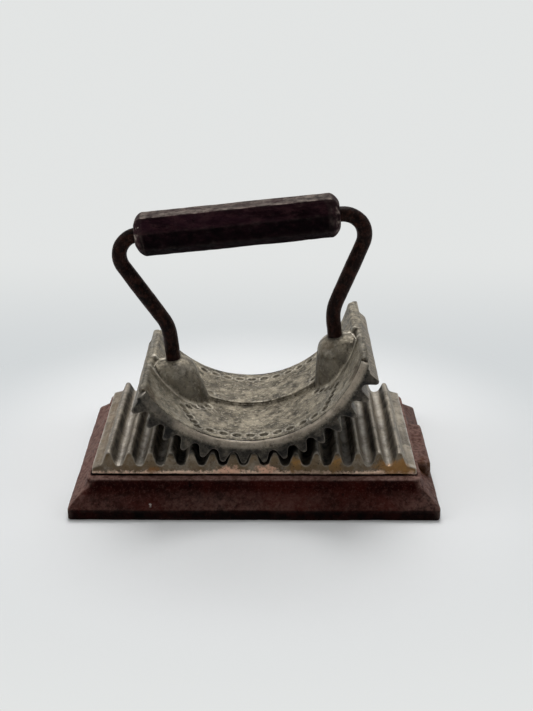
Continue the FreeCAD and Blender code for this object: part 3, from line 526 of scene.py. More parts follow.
def baseShape():
    # rings up the moulding: foot, nose, flare, cove and rounded edge, then in over the platform, close
    # together in the shadow under the plate
    flare = math.radians(base["flareAngle"])
    foot, nose, noseTop, middle = base["foot"], base["noseRound"], base["noseHeight"], base["halfY"]
    low = (nose * (1 - math.sin(flare)), noseTop + nose * math.cos(flare))
    high = (low[0] + base["flareLength"] * math.cos(flare), low[1] + base["flareLength"] * math.sin(flare))
    hollow = (high[0] - base["coveRadius"] * math.sin(flare), high[1] + base["coveRadius"] * math.cos(flare))
    cove = bow(hollow, base["coveRadius"], base["flareAngle"] - 90, base["coveAngle"] - 90, 10)
    top, rounding = base["platform"], base["platformRound"]
    gapStart, gapEnd = base["gapStart"], base["gapEnd"]
    edge = cove[-1, 0] + rounding
    profile = np.vstack([
        run((middle, 0), (foot, 0), 14),
        bow((foot, foot), foot, 270, 180, 4),
        run((0, base["noseWall"]), (0, noseTop), 3),
        bow((nose, noseTop), nose, 180, 90 + base["flareAngle"], 5),
        run(low, high, 7)[1:],
        cove,
        bow((edge, top - rounding), rounding, 180, 90, 5),
        run((edge, top), (gapStart, top), 2)[1:],
        run((gapStart, top), (gapEnd, top), 11),
        run((gapEnd, top), (middle, top), 16),
        [(middle, top)],
    ])
    share = eased(profile[:, 1], low[1], high[1] + 2)
    corner = base["noseCorner"] * (1 - share) + base["platformCorner"] * share
    shells = [roundedRings(profile, base, corner), raisedBlock(lug)]
    shells += [raisedBlock(seat, sign) for sign in ((-1, -1), (-1, 1), (1, -1), (1, 1))]
    return [(shell, False) for shell in shells]


def baseMarks(places, normals):
    # bare: a painted highlight on the platform's margin, painted light on the flares at both sides, a painted
    # reflection on the front slope and rubbed paint on the lug; grime: painted shade under the plate and on
    # the nose
    x, y, z = places.T
    sideways, up = np.abs(normals[:, 0]), normals[:, 2]
    outside = np.maximum(np.abs(x) - plate["halfX"], np.abs(y) - plate["halfY"])
    # painted shade in the gap under the plate
    shadeUnderPlate = eased(outside, 0.75, 0.30) * (z > 13)
    # painted shade: the nose made black
    nose = eased(z, 4.7, 4.0) * (sideways < 0.5)
    # painted highlight along the platform's margin and top edge
    margin = eased(z, base["platform"] - 0.9, base["platform"] - 0.3) * eased(up, 0.3, 0.8) * (1 - shadeUnderPlate)
    # painted light: the flares at both sides lighter, the left one more
    sides = 0.85 * eased(sideways, 0.35, 0.6) * eased(up, 0.1, 0.4) * (1 - 0.35 * (x > 0))
    # painted reflection on the front slope where it faces up, broken into scuffs
    scuffed = 0.35 + 0.65 * blotches(places, 9.0, 3, -0.4, 0.6, (0.4, 1, 1))
    slopeReflection = 0.30 * eased(z, 3.9, 5.0) * eased(z, 11.5, 6.0) * eased(up, 0.2, 0.5) * scuffed
    onLug = 0.8 * (x > 66.5) * eased(z, 10.5, 12.4)
    return dict(bare=np.maximum.reduce([margin, sides, slopeReflection, onLug]), grime=np.maximum(shadeUnderPlate, nose))


# Fluted plate: flutes across the plate, each section a loop round front edge, flutes and underside

plate = dict(
    halfX=65.8, halfY=36.3, thickness=3.5, pitch=8.42, ribs=15, ribHeight=5.3, crestRadius=1.05,
    valleyRadius=2.0, endDrop=0.8, draft=2.6, bottom=14.8, edge=0.7, foot=0.45, rowStep=1.2,
    pinSpacing=84.2, pinRadius=2.8, pinDepth=2.2, waveSteps=(6, 4, 7))
copperTone = (0.90, 0.54, 0.38)
brassTone = (0.33, 0.17, 0.05)
plateLook = dict(
    castLook, seed=23, edges=0.85, hollows=0.15, wear=0.3, wearReach=0.15, wearSize=3.2,
    bumps=[(14.0, 0.13), (4.0, 0.09), (1.6, 0.05)], pits=[(2.0, 0.18, 0.35)],
    dark=(0.135, 0.11, 0.082), light=(0.38, 0.33, 0.26), broadScale=60.0,
    mottle=((0.048, 0.036, 0.024), 300.0, 0.75), fleck=((0.42, 0.38, 0.33), 1200.0, 0.45),
    bare=((0.165, 0.112, 0.062), 180.0, 0.85), grime=((0.006, 0.0048, 0.004), 150.0, 1.0),
    worn=((0.66, 0.61, 0.54), 180.0, 1.0), metal=0.45, wearMetal=0.85, wearShine=0.12,
    roughness=0.46, sheen=0.15, lumpScale=620.0, pitScale=1100.0, pitShade=0.6,
    bumpStrength=0.75, bumpDepth=0.35,
    stains=[((0, -36.4, 14.8), 1.8, (1.0, 0.72, 0.55), 1.0, (0.012, 1, 1)),    # along the lower edge
            ((57, -36.5, 17), 7.5, (0.36, 0.18, 0.055), 0.8, (0.8, 1.6, 1.4)),
            ((-41, -36.4, 16.2), 2.6, (0.3, 0.13, 0.04), 0.7, (0.8, 1, 1.3)),
            ((-10.4, -36.4, 16.2), 3.3, copperTone, 0.9, (0.6, 1, 1.3)),
            ((5, -36.4, 16.3), 3.6, copperTone, 0.9, (0.8, 1, 1.3)),
            ((17, -36, 19.5), 3.2, brassTone, 0.9, (1, 1, 0.7)),
            ((32.5, -36, 19.5), 3.3, brassTone, 0.9, (1, 1, 0.7)),
            ((25, -36, 17), 6.0, (0.14, 0.095, 0.05), 0.6, (0.3, 1, 1.4))])


def fluteLine():
    # the plate's top from end to end: a wave for each rib, and a slope down to the shoulder at both ends
    floor = plate["bottom"] + plate["thickness"]
    crest = (0, floor + plate["ribHeight"] - plate["crestRadius"])
    valley = (plate["pitch"] / 2, floor + plate["valleyRadius"])
    half = wave(crest, plate["crestRadius"], valley, plate["valleyRadius"], 0, plate["waveSteps"])
    ribbed, far, shoulder = plate["ribs"] * plate["pitch"] / 2, plate["halfX"], floor - plate["endDrop"]
    return np.vstack([
        run((-far, shoulder), (-ribbed, floor), 4),
        repeated(half, plate["ribs"], plate["pitch"]),
        run((ribbed, floor), (far, shoulder), 4),
        [(far, shoulder)],
    ])


def plateSection(top):
    # from the middle of the underside round the foot, up the drafted face, round the lip and in along the top
    bottom, low, edge = plate["bottom"], plate["foot"], plate["edge"]
    rise = plate["draft"] / (plate["thickness"] + plate["ribHeight"])

    def side(z):
        return plate["halfY"] - rise * (z - bottom)

    places = [(y, bottom) for y in (*np.arange(0, 4.2, 0.45), *np.linspace(5.5, plate["halfY"] - low, 14))]
    places += [(side(bottom + low) - low * (1 - math.cos(a)), bottom + low - low * math.sin(a))
               for a in np.radians((60, 30, 0))]
    heights = [bottom + low + (top - edge - bottom - low) * share for share in np.linspace(0.08, 1, 10)]
    places += [(side(z), z) for z in heights]
    places += overTop(side(top - edge), edge, top, plate["rowStep"], plate["halfY"])
    return wholeSection(places, top)


def plateShape():
    # the sections set side by side along x, with a round hole for each pin pushed up into the underside
    line = fluteLine()
    section = plateSection(line[:, 1])
    x = np.broadcast_to(line[:, :1], section.shape[:2])
    points = np.stack([x, section[..., 0], section[..., 1]], axis=-1)
    inHole = np.hypot(np.abs(x) - plate["pinSpacing"] / 2, points[..., 1]) < plate["pinRadius"]
    onBottom = points[..., 2] < plate["bottom"] + 0.01
    points[..., 2] += np.where(inHole & onBottom, plate["pinDepth"], 0)
    return [(points, True)]


def plateMarks(places, normals):
    # bare: the brown skin of the front, back and end faces; worn: painted light on the outer flutes' floors;
    # grime: painted shade on the flanks that face the rocker and on the underside, and the rocker's painted
    # shadow on the flutes and rib tips near the middle
    x, _, z = places.T
    normalX, normalY, normalZ = normals.T
    far = np.abs(x)
    low = plate["bottom"] + plate["thickness"]
    crest = low + plate["ribHeight"]
    depth = crest - z
    inward = -np.sign(x) * normalX
    face = np.maximum(eased(np.abs(normalY), 0.6, 0.9), eased(np.abs(normalX), 0.93, 0.99))
    endLand = 0.85 * eased(-x, 59.6, 60.8) * eased(depth, 0.8, 2.0)
    # painted light: the floors of the outer flutes made lighter
    floor = 0.5 * eased(low + 1.3 - z, 0.0, 0.9) * eased(far, 26, 40) * eased(normalZ, 0.4, 0.8) * (far < 62)
    # painted shade on the flanks that face the rocker
    flank = 0.85 * eased(inward, 0.6, 0.92) * eased(z, low + 0.7, low + 2.0) * eased(depth, 0.5, 1.3)
    # the rocker's painted shadow on the flutes near the middle
    middle = eased(far, 52, 36) * eased(depth, 1.2, 3.2) * (np.abs(normalY) < 0.5) * (z > low - 0.4)
    middle = middle * (1 - 0.85 * eased(-inward, 0.4, 0.85) * eased(far, 12, 20))
    # painted shadow on the rib tips near the middle
    shadedTips = 0.9 * eased(far, 42, 30) * eased(z, crest - 1.7, crest - 0.7)
    # the faces turned down get painted shade too
    return dict(bare=np.maximum(face * eased(depth, 0.1, 0.8), endLand), worn=floor,
                grime=np.maximum.reduce([flank, eased(-normalZ, 0.5, 0.9), middle, shadedTips]))


# Rocker: sections through the rolling axis, carried along the arc

shoe = dict(
    teeth=15, rollingTeeth=41, pitch=8.42, addendum=1.1, depth=5.85, tipRadius=1.15, rootRadius=1.85,
    rootFill=0.7, halfWidth=34.5, rimWidth=3.0, rimRound=2.6, floor=1.8, endLand=0.3, phase=1.2, edge=0.45,
    rowStep=2.2, waveSteps=(6, 5, 7))
saddle = dict(
    thickness=1.7, step=1.5, stepFoot=1.45, stepTop=0.7, backMargin=2.0, backRound=1.3, edge=0.45,
    seam=0.55, seamFade=(26, 36), seamShade=(26, 34), lip=1.3, lipDrop=0.9, endRound=1.6, endGap=0.25,
    channel=(4.1, 13.9), channelDepth=1.6, channelEnd=60.0, angleStep=0.45, rowStep=0.35)
toothAngle = 360 / shoe["rollingTeeth"]
rollingRadius = shoe["pitch"] / math.radians(toothAngle)
tipCircle = rollingRadius + shoe["addendum"]
rootCircle = tipCircle - shoe["depth"]
seatRadius = rootCircle - shoe["floor"]
rimRadius = seatRadius - saddle["thickness"]
backRadius = rimRadius - saddle["step"]
saddleHalf = shoe["halfWidth"] - shoe["rimWidth"]
shoeEnd = toothAngle * shoe["teeth"] / 2 + shoe["phase"]
lipStart = shoeEnd + math.degrees(saddle["endGap"] / seatRadius)
saddleEnd = lipStart + math.degrees(saddle["lip"] / seatRadius)
shoeLook = dict(
    castLook, seed=37, wear=0.2, wearReach=0.13, wearSize=2.6,
    bumps=[(9.0, 0.1), (3.0, 0.07), (1.3, 0.04)], pits=[(1.8, 0.14, 0.3)],
    dark=(0.135, 0.112, 0.084), light=(0.36, 0.31, 0.24), broadScale=90.0,
    mottle=((0.045, 0.034, 0.024), 420.0, 0.7), fleck=((0.45, 0.41, 0.35), 1300.0, 0.4),
    bare=((0.43, 0.365, 0.29), 200.0, 0.7), grime=((0.0095, 0.009, 0.0085), 200.0, 1.0),
    worn=((0.46, 0.42, 0.36), 200.0, 0.9), metal=0.4, wearMetal=0.8, wearShine=0.1,
    roughness=0.46, sheen=0.15, lumpScale=700.0, pitScale=1200.0, bumpStrength=0.7, bumpDepth=0.32)


def toothLine():
    # the shoe's outside as (angle, radius): a wave for each tooth, and bare land up to the right end
    half = math.radians(toothAngle / 2)
    root = rootCircle + shoe["rootFill"]
    reach = root + shoe["rootRadius"]
    tip, valley = (0, tipCircle - shoe["tipRadius"]), (reach * math.sin(half), reach * math.cos(half))
    x, z = wave(tip, shoe["tipRadius"], valley, shoe["rootRadius"], toothAngle / 2, shoe["waveSteps"]).T
    tooth = np.stack([np.degrees(np.arctan2(x, z)), np.hypot(x, z)], axis=-1)
    land = rootCircle - shoe["endLand"]
    toothed = (shoe["teeth"] - 1) / 2 * toothAngle - shoe["phase"] + toothAngle / 2
    return np.vstack([
        repeated(tooth, shoe["teeth"], toothAngle, -shoe["phase"]),
        [(toothed, root)],
        run((toothed + 0.3, land), (shoeEnd, land), 5),
        [(shoeEnd, land)],
    ])


def shoeSection(angle, outer):
    # from the middle of the seat, up the seam, over the rim and down the face, to the middle of the teeth
    wide, edge, rim = shoe["halfWidth"], shoe["edge"], shoe["rimRound"]
    rimFoot = rimRadius + rim
    inner = saddleHalf + saddle["seam"] * (1 - 0.8 * eased(np.abs(angle), *saddle["seamFade"]))
    places = [(inner * share, seatRadius) for share in np.linspace(0, 1, 8)]
    places += [(inner, seatRadius - saddle["thickness"] * share) for share in (0.35, 0.7, 0.85)]
    places += [(inner + 0.1, rimRadius + 0.1), (inner + 0.25, rimRadius)]
    places += list(bow((wide - rim, rimFoot), rim, 270, 360, 8))
    faceHeight = outer - edge - rimRadius - rim
    places += [(wide, rimFoot + faceHeight * share) for share in np.linspace(0, 1, 8)[1:]]
    places += overTop(wide, edge, outer, shoe["rowStep"], wide)
    return wholeSection(places, outer)


def shoeShape():
    # the sections turned about the rolling axis, one at each angle of the tooth line
    line = toothLine()
    section = shoeSection(line[:, 0], line[:, 1])
    return [(placeRocker(polar(section[..., 1], line[:, :1], section[..., 0])), True)]


def shoeMarks(places, normals):
    # grime: dark tooth faces, painted shade in the valleys near the middle, a black seam and a dull left end;
    # bare: the rim that hands keep bright
    radius, angle, y = toPolar(places)
    out, turn = np.abs(y) - saddleHalf, np.abs(angle)
    face = 0.95 * eased(np.abs(normals[:, 1]), 0.5, 0.9) * eased(radius, rimRadius + 1.6, rimRadius + 3.2)
    # painted shade in the valleys between the teeth near the middle, where they meet the ribs
    valley = eased(radius, rootCircle - 1, rootCircle) * (1 - eased(radius, tipCircle - 3.2, tipCircle - 1.2))
    valley = 0.6 * valley * eased(turn, 60, 48)
    seam = np.maximum(1 - eased(out, saddle["seam"], saddle["seam"] + 0.2),
                      eased(out, -1, 0) * (radius > rimRadius + 0.25) * (out < saddle["seam"] + 0.1))
    seam = seam * (1 - 0.85 * eased(turn, *saddle["seamShade"]))
    dull = eased(-angle, 41, 50) * (out > 0.3)
    rim = eased(out, 0.5, 1.0) * (1 - eased(radius, rimRadius + 1.2, rimRadius + 2.2)) * (1 - dull)
    return dict(grime=np.maximum.reduce([face, valley, seam, 0.75 * dull]), bare=rim)


# Ornament: punched dots in rows that close in a chevron at both ends, sunk into the saddle's upper face

dots = dict(
    radius=1.55, soft=(0.72, 1.08), stretch=1.2, depth=0.5, rimHeight=0.16, rimWidth=0.4, rimOffset=0.35,
    frontRow=(-27.6, 34.0, 11), apex=(43.2, -17.2), inner=(30.0, -6.8), sideSteps=4,
    backRow=(23.9, 35.0, 11), backInner=(29.8, 3.7))


def dotPlaces():
    # (angle, y) of each dot: two straight rows, and at each end two slanting rows that meet in the apex
    rows = [np.stack([np.linspace(-reach, reach, count), np.full(count, y)], axis=-1)
            for y, reach, count in (dots["frontRow"], dots["backRow"])]
    low = run((dots["frontRow"][1], dots["frontRow"][0]), dots["apex"], dots["sideSteps"])[1:]
    high = run(dots["apex"], dots["inner"], dots["sideSteps"])
    chevron = np.vstack([low, high, [dots["inner"]], [dots["backInner"]]])
    return np.vstack([*rows, chevron, chevron * (-1, 1)])


def dotField(angle, y):
    # two masks: 1 inside each oval dot, and 1 along the low ridge round it
    inside = np.zeros(np.broadcast_shapes(angle.shape, y.shape))
    ridge = inside.copy()
    near, far = np.multiply(dots["radius"], dots["soft"])
    for dotAngle, dotY in dotPlaces():
        along = np.radians(angle - dotAngle) * rimRadius / dots["stretch"]
        distance = np.hypot(along, y - dotY)
        inside = np.maximum(inside, 1 - eased(distance, near, far))
        ridge = np.maximum(ridge, stripe(distance - dots["radius"], dots["rimOffset"], dots["rimWidth"]))
    return inside, ridge


# Saddle: the upper face with its step and dots, laid on the shoe, and the two bosses standing on it

saddleLook = dict(
    castLook, seed=51, rounds=4, edges=0.6, wear=0.08, wearReach=0.16, wearSize=4.0,
    bumps=[(12.0, 0.12), (4.5, 0.08), (1.5, 0.05), (0.9, 0.035)], pits=[(1.6, 0.14, 0.3)],
    dark=(0.095, 0.078, 0.052), light=(0.35, 0.305, 0.228), broadScale=150.0,
    mottle=((0.034, 0.026, 0.016), 270.0, 0.85), fleck=((0.58, 0.51, 0.4), 800.0, 0.45),
    bare=((0.84, 0.77, 0.64), 260.0, 1.0), grime=((0.024, 0.0185, 0.0105), 260.0, 1.0),
    worn=((0.5, 0.46, 0.39), 260.0, 0.8), metal=0.4, wearMetal=0.8, wearShine=0.1,
    roughness=0.44, sheen=0.15, lumpScale=560.0, pitScale=950.0, pitShade=0.6,
    bumpStrength=0.9, bumpDepth=0.5,
    stains=[((-43, -29, 43), 6.0, (0.1, 0.062, 0.032), 0.6, (1, 1, 0.7)),
            ((43, -29, 55), 6.0, (0.11, 0.072, 0.038), 0.7, (1, 1, 0.7)),
            ((-30, 0, 62), 6.0, (0.1, 0.074, 0.042), 0.4, (0.6, 0.4, 1)),
            ((28, -8, 60), 6.0, (0.12, 0.085, 0.05), 0.5, (1, 1, 0.6))])
boss = dict(
    middle=34.4, tongueFront=8.25, tongueBack=6.45, radius=8.3, topDrop=19.2, shoulder=6.4, draft=12.0,
    fillet=0.7, sink=0.7, wallLength=26, wallSteps=24, stepsSide=18, stepsEnd=38)


def topRadius(y):
    # radius of the saddle's upper face: the front half, a rounded rise, and the back half nearer to the axis
    y = np.asarray(y, float)
    foot, top, height = saddle["stepFoot"], saddle["stepTop"], saddle["step"]
    hollow = foot - np.sqrt(np.maximum(foot ** 2 - np.clip(y + foot, 0, foot) ** 2, 0))
    crown = top - np.sqrt(np.maximum(top ** 2 - np.clip(top - y, 0, top) ** 2, 0))
    rise = np.where(y < 0, np.minimum(hollow, height - top), height - crown)
    return rimRadius - np.where(y < -foot, 0, rise)


def saddleSection():
    # the upper face from the front edge to the back edge as (y, radius)
    edge, half, rounding = saddle["edge"], saddleHalf, saddle["backRound"]
    ledge = half - saddle["backMargin"]
    flatY = np.concatenate([
        np.arange(-half + edge + 0.3, -1.55, saddle["rowStep"]),
        np.linspace(-1.45, -0.15, 8), [-0.02, 0.02], np.linspace(0.08, 0.8, 6),    # closer on the step
        np.arange(1.15, ledge - rounding, saddle["rowStep"]),
    ])
    return np.vstack([
        bow((-half + edge, rimRadius + edge), edge, 180, 270, 5),
        np.stack([flatY, topRadius(flatY)], axis=-1),
        bow((ledge - rounding, backRadius + rounding), rounding, 270, 360, 6),
        [(ledge, rimRadius - 0.05), (ledge + 0.3, rimRadius)],
        bow((half - edge, rimRadius + edge), edge, 270, 360, 5),
    ])


def saddleShape():
    # the upper face carried along the arc with its dots pressed in and its ends rounded off, closed below by
    # the seat, which drops over the shoe's ends and leaves the channel of the strip free
    upper = saddleSection()
    angle = np.linspace(-saddleEnd, saddleEnd, round(2 * saddleEnd / saddle["angleStep"]) + 1)
    lip = [lipStart - 0.04, lipStart + 0.04, *np.linspace(lipStart + 0.3, saddleEnd, 5)]
    angle = np.sort(np.concatenate([angle[np.abs(angle) < lipStart - 0.1], lip, np.negative(lip)]))
    radius = np.broadcast_to(upper[None, :, 1], (len(angle), len(upper))).copy()
    backEnd = saddleHalf - saddle["backMargin"] - saddle["backRound"]
    flat = (upper[:, 0] > -saddleHalf + saddle["edge"]) & (upper[:, 0] < backEnd)
    inside, ridge = dotField(angle[:, None], upper[None, flat, 0])
    radius[:, flat] += dots["depth"] * inside - dots["rimHeight"] * ridge
    endRound = saddle["endRound"]
    into = np.clip(np.radians(np.abs(angle) - saddleEnd) * seatRadius + endRound, 0, endRound)
    radius += (endRound - np.sqrt(endRound ** 2 - into ** 2))[:, None]
    bottom = np.where(np.abs(angle) < lipStart, seatRadius - 0.03, seatRadius + saddle["lipDrop"])
    inChannel = np.abs(angle) < saddle["channelEnd"]
    groove = np.where(inChannel, seatRadius - saddle["channelDepth"], bottom - 0.02)
    low, high = saddle["channel"]
    under = [(saddleHalf, bottom), (20.0, bottom), (high, bottom), (high, groove), (low, groove),
             (low, bottom), (-8.0, bottom), (-20.0, bottom), (-saddleHalf, bottom)]
    y = np.concatenate([upper[:, 0], [place[0] for place in under]])
    lower = np.stack([place[1] for place in under], axis=1)
    points = placeRocker(polar(np.hstack([radius, lower]), angle[:, None], y[None, :]))
    return [(points, True)] + [(placeRocker(bossPoints(side)), False) for side in (-1, 1)]


def bossPoints(side):
    # a round inner end and a straight tongue. Each column starts on the middle line, runs out over the flat
    # top and the shoulder, goes down the tapered side to the saddle, and turns out into it along a fillet
    draft, full, shoulder = math.radians(boss["draft"]), boss["radius"], boss["shoulder"]
    turn = np.linspace(-np.pi / 2, -3 * np.pi / 2, boss["stepsEnd"])
    share = np.linspace(1, 0, boss["stepsSide"] + 1)[:-1]
    middleX = boss["middle"] + np.concatenate([boss["tongueFront"] * share, np.zeros(len(turn)),
                                               boss["tongueBack"] * share[::-1]])
    normalX = np.concatenate([np.zeros(len(share)), np.cos(turn), np.zeros(len(share))])
    normalY = np.concatenate([-np.ones(len(share)), np.sin(turn), np.ones(len(share))])

    flat, top = full - shoulder * math.cos(draft), -boss["topDrop"]
    bend = bow((flat, top - shoulder), shoulder, 90, boss["draft"], 9)
    wallEnd = bend[-1] + np.array((math.tan(draft), -1)) * boss["wallLength"]
    wall = run(bend[-1], wallEnd, boss["wallSteps"])[1:]
    profile = np.vstack([run((0, top), (flat, top), 4), bend, wall])

    def groundAt(out):
        # height of the saddle's upper face, as far out as each column reaches
        return -np.sqrt(np.maximum(topRadius(normalY * out) ** 2 - (middleX + normalX * out) ** 2, 1))

    out = np.full(middleX.shape, full)
    for step in range(8):
        meet = groundAt(out)
        out = full + np.maximum(bend[-1, 1] - meet, 0) * math.tan(draft)
    fillet = boss["fillet"] * np.clip((bend[-1, 1] - meet - 1) / 4, 0, 1)
    rows = []
    for offset, height in profile:
        held = np.where(height < meet + fillet, out - fillet * math.tan(draft), offset)
        rows.append((held, np.maximum(height, meet + fillet)))
    for angle in np.radians((22, 45, 68, 90)):
        far = out + fillet * (1 - math.cos(angle))
        rows.append((far, groundAt(far) + fillet * (1 - math.sin(angle))))
    far = out + fillet + 0.02
    rows.append((far, groundAt(far) - boss["sink"]))
    closing = -np.sqrt(np.maximum(topRadius(-5.0) ** 2 - middleX ** 2, 1))
    rows.append((far * 0, closing - boss["sink"]))
    return np.stack([np.stack([side * (middleX + normalX * offset), normalY * offset, height], axis=-1)
                     for offset, height in rows])


def saddleMarks(places, normals):
    # grime: the dots, the rod's feet, the seam, patches at both ends and a darker back half, with painted
    # shade at the foot of the step and on the bosses' walls; bare: the dots' ridges and patches out to both
    # sides, with painted highlights on the step's edge and along the bosses' feet and crowns
    radius, angle, y = toPolar(places)
    x, _, z = levelRocker(places).T
    far, turn = np.abs(x), np.abs(angle)
    rough = blotches(places, 1.7, 7, -0.3, 0.4)
    onTop = (radius < rimRadius + 0.9) & (np.abs(y) < saddleHalf - 0.6)
    inside, ridge = dotField(angle, y)
    plain = onTop * (1 - inside)

    outward = np.where(far > boss["middle"], np.abs(y), np.hypot(far - boss["middle"], y))
    fallen = -boss["topDrop"] - z
    slant = math.tan(math.radians(boss["draft"]))
    gap = outward - boss["radius"] - slant * (fallen - boss["shoulder"] * 0.85)
    # painted shade on the bosses' walls
    wall = 0.6 * eased(fallen, 3.0, 8.0) * eased(topRadius(y) - radius, 0.3, 1.2) * (np.abs(gap) < 1.2)
    # painted highlights along the bosses' feet and crowns
    footHighlight = stripe(gap - boss["fillet"], 0.3, 0.85) * (y < 0) * (far > 26) * onTop
    crownHighlight = stripe(y, 0.6, 0.9) * (far > 37.6) * (far < 43.4) * (fallen < 0.9)

    # painted shade at the foot of the step, and a painted highlight along its edge
    hollow = 0.6 * stripe(y, -0.8, 0.9) * onTop
    stepHighlight = 0.55 * stripe(y, 0.9, 0.5) * onTop * rough
    backHalf = 0.26 * eased(y, 1.5, 5) * onTop * rough
    flanks = 0.30 * eased(turn, 24, 40) * eased(-y, 10, 15) * plain * (0.4 + 0.6 * rough)
    ends = np.maximum(0.5 * eased(turn, 50, 60) * eased(np.abs(y), 22, 29),
                      0.35 * eased(turn, saddleEnd - 3.5, saddleEnd - 1.5)) * rough
    feet = [placeHandle(np.array([side * handle["footX"], 0, 2.0])) for side in (-1, 1)]
    nearest = np.minimum(*[np.linalg.norm(places - foot, axis=1) for foot in feet])
    foot = 1 - eased(nearest, handle["rodRadius"] + 0.2, handle["rodRadius"] + 2.0)
    seam = (np.abs(y) > saddleHalf - 0.5) * eased(radius, rimRadius + 0.08, rimRadius + 0.25)
    seam = seam * (1 - 0.85 * eased(turn, *saddle["seamShade"]))
    return dict(grime=np.maximum.reduce([0.62 * inside * onTop, wall, hollow, backHalf, ends, foot, seam]),
                bare=np.maximum.reduce([0.36 * ridge * plain, footHighlight, crownHighlight, stepHighlight, flanks]))


# Handle: a round rod bent in four places, and an eight-sided grip on its cross run

handle = dict(
    shift=-0.31, drop=20.9, lean=2.75, footX=34.42, footZ=-9.5, kneeX=34.22, kneeZ=14.83, kneeBend=17.76,
    shoulderX=55.72, gripZ=55.23, shoulderBend=8.76, rodRadius=3.1, around=26, rodStep=1.1)
grip = dict(
    flats=16.7, turn=6.5, left=-42.2, right=40.7, bevelLength=3.5, bevelDepth=3.6, cornerRound=1.1,
    around=9, step=0.9)
rodLook = dict(
    castLook, seed=67, rounds=2, edges=0.1, wear=0.0, wearReach=0.1, wearSize=4.0,
    bumps=[(10.0, 0.12), (3.5, 0.07), (1.6, 0.04)],
    dark=(0.0022, 0.0009, 0.0008), light=(0.012, 0.0046, 0.0036), broadScale=150.0,
    mottle=((0.05, 0.018, 0.012), 330.0, 0.6), fleck=((0.12, 0.075, 0.06), 900.0, 0.15),
    bare=((0.07, 0.04, 0.031), 260.0, 0.85), grime=((0.004, 0.003, 0.003), 220.0, 0.4),
    worn=((0.14, 0.12, 0.11), 260.0, 0.4), wearMetal=0.5, wearShine=0.05,
    roughness=0.36, sheen=0.04, lumpScale=600.0, pitScale=1000.0, bumpStrength=0.5, bumpDepth=0.3)
gripLook = dict(
    castLook, seed=83, edges=0.4, wear=0.3, wearReach=0.14, wearSize=3.4,
    bumps=[(14.0, 0.16), (4.0, 0.09), (1.8, 0.05)], pits=[(2.2, 0.18, 0.35)], grainWay=(0.4, 1, 1),
    dark=(0.0045, 0.0012, 0.0022), light=(0.023, 0.0075, 0.0125), broadScale=85.0,
    mottle=((0.045, 0.018, 0.021), 300.0, 0.5), fleck=((0.1, 0.06, 0.06), 800.0, 0.06),
    bare=((0.165, 0.138, 0.12), 420.0, 0.95), grime=((0.003, 0.0016, 0.0022), 240.0, 1.0),
    worn=((0.34, 0.27, 0.235), 420.0, 0.9), roughness=0.5, sheen=0.015,
    lumpScale=520.0, pitScale=900.0, bumpStrength=0.6, bumpDepth=0.35,
    stains=[((-45.8, -5.4, 108.6), 1.2, (0.42, 0.36, 0.31), 0.9, plainRound),    # chips at the left end
            ((-46.3, -5.6, 105.6), 1.6, (0.5, 0.43, 0.37), 0.9, plainRound),
            ((-44.9, -6.5, 103.1), 1.3, (0.35, 0.28, 0.24), 0.8, plainRound)])


def placeHandle(points):
    # from the handle's own frame to the resting rocker: leaned, lowered, then placed with the rocker
    return placeRocker(turned(points, -math.radians(handle["lean"])) + (handle["shift"], 0, -handle["drop"]))


def bentLine(corners, bends, step):
    # straight runs between corners, each corner replaced by the arc of its bend radius that touches both runs
    corners = np.asarray(corners, float)
    rows, start = [], corners[0]
    for corner, before, after, bend in zip(corners[1:-1], corners[:-2], corners[2:], bends):
        back = (before - corner) / np.linalg.norm(before - corner)
        ahead = (after - corner) / np.linalg.norm(after - corner)
        half = math.acos(np.dot(back, ahead)) / 2
        reach = bend / math.tan(half)
        centre = corner + (back + ahead) / np.linalg.norm(back + ahead) * bend / math.sin(half)
        first, last = corner + back * reach, corner + ahead * reach
        angles = np.degrees([math.atan2(*(point - centre)[::-1]) for point in (first, last)])
        sweep = (angles[1] - angles[0] + 180) % 360 - 180
        count = max(4, round(math.radians(abs(sweep)) * bend / step))
        arc = bow(centre, bend, angles[0], angles[0] + sweep, count)
        rows += [run(start, first, max(1, round(np.linalg.norm(first - start) / step))), arc[:-1]]
        start = last
    rows += [run(start, corners[-1], round(np.linalg.norm(corners[-1] - start) / step)), corners[-1:]]
    return np.vstack(rows)


def rodShape():
    # a circle carried along the bent line: the radius times the sine along y and the cosine along the normal
    right = [(handle["footX"], handle["footZ"]), (handle["kneeX"], handle["kneeZ"]),
             (handle["shoulderX"], handle["gripZ"])]
    corners = [(-x, z) for x, z in right] + right[::-1]
    bends = [handle["kneeBend"], handle["shoulderBend"], handle["shoulderBend"], handle["kneeBend"]]
    line = bentLine(corners, bends, handle["rodStep"])
    along = np.gradient(line, axis=0)
    along /= np.linalg.norm(along, axis=1)[:, None]
    turn = np.linspace(0, 2 * np.pi, handle["around"] + 1)[:-1]
    sine, cosine = handle["rodRadius"] * np.sin(turn), handle["rodRadius"] * np.cos(turn)
    x, z = line[:, :1] - cosine * along[:, 1:], line[:, 1:] + cosine * along[:, :1]
    return [(placeHandle(np.stack(np.broadcast_arrays(x, sine, z), axis=-1)), True)]


def rodMarks(places, normals):
    # bare: a painted reflection, brown, along both sides of the rod, broken up along its length; the front
    # and back stay black
    return dict(bare=eased(np.abs(normals[:, 0]), 0.55, 0.95) * (0.55 + 0.45 * smoothNoise(places, 4.0, 8)))


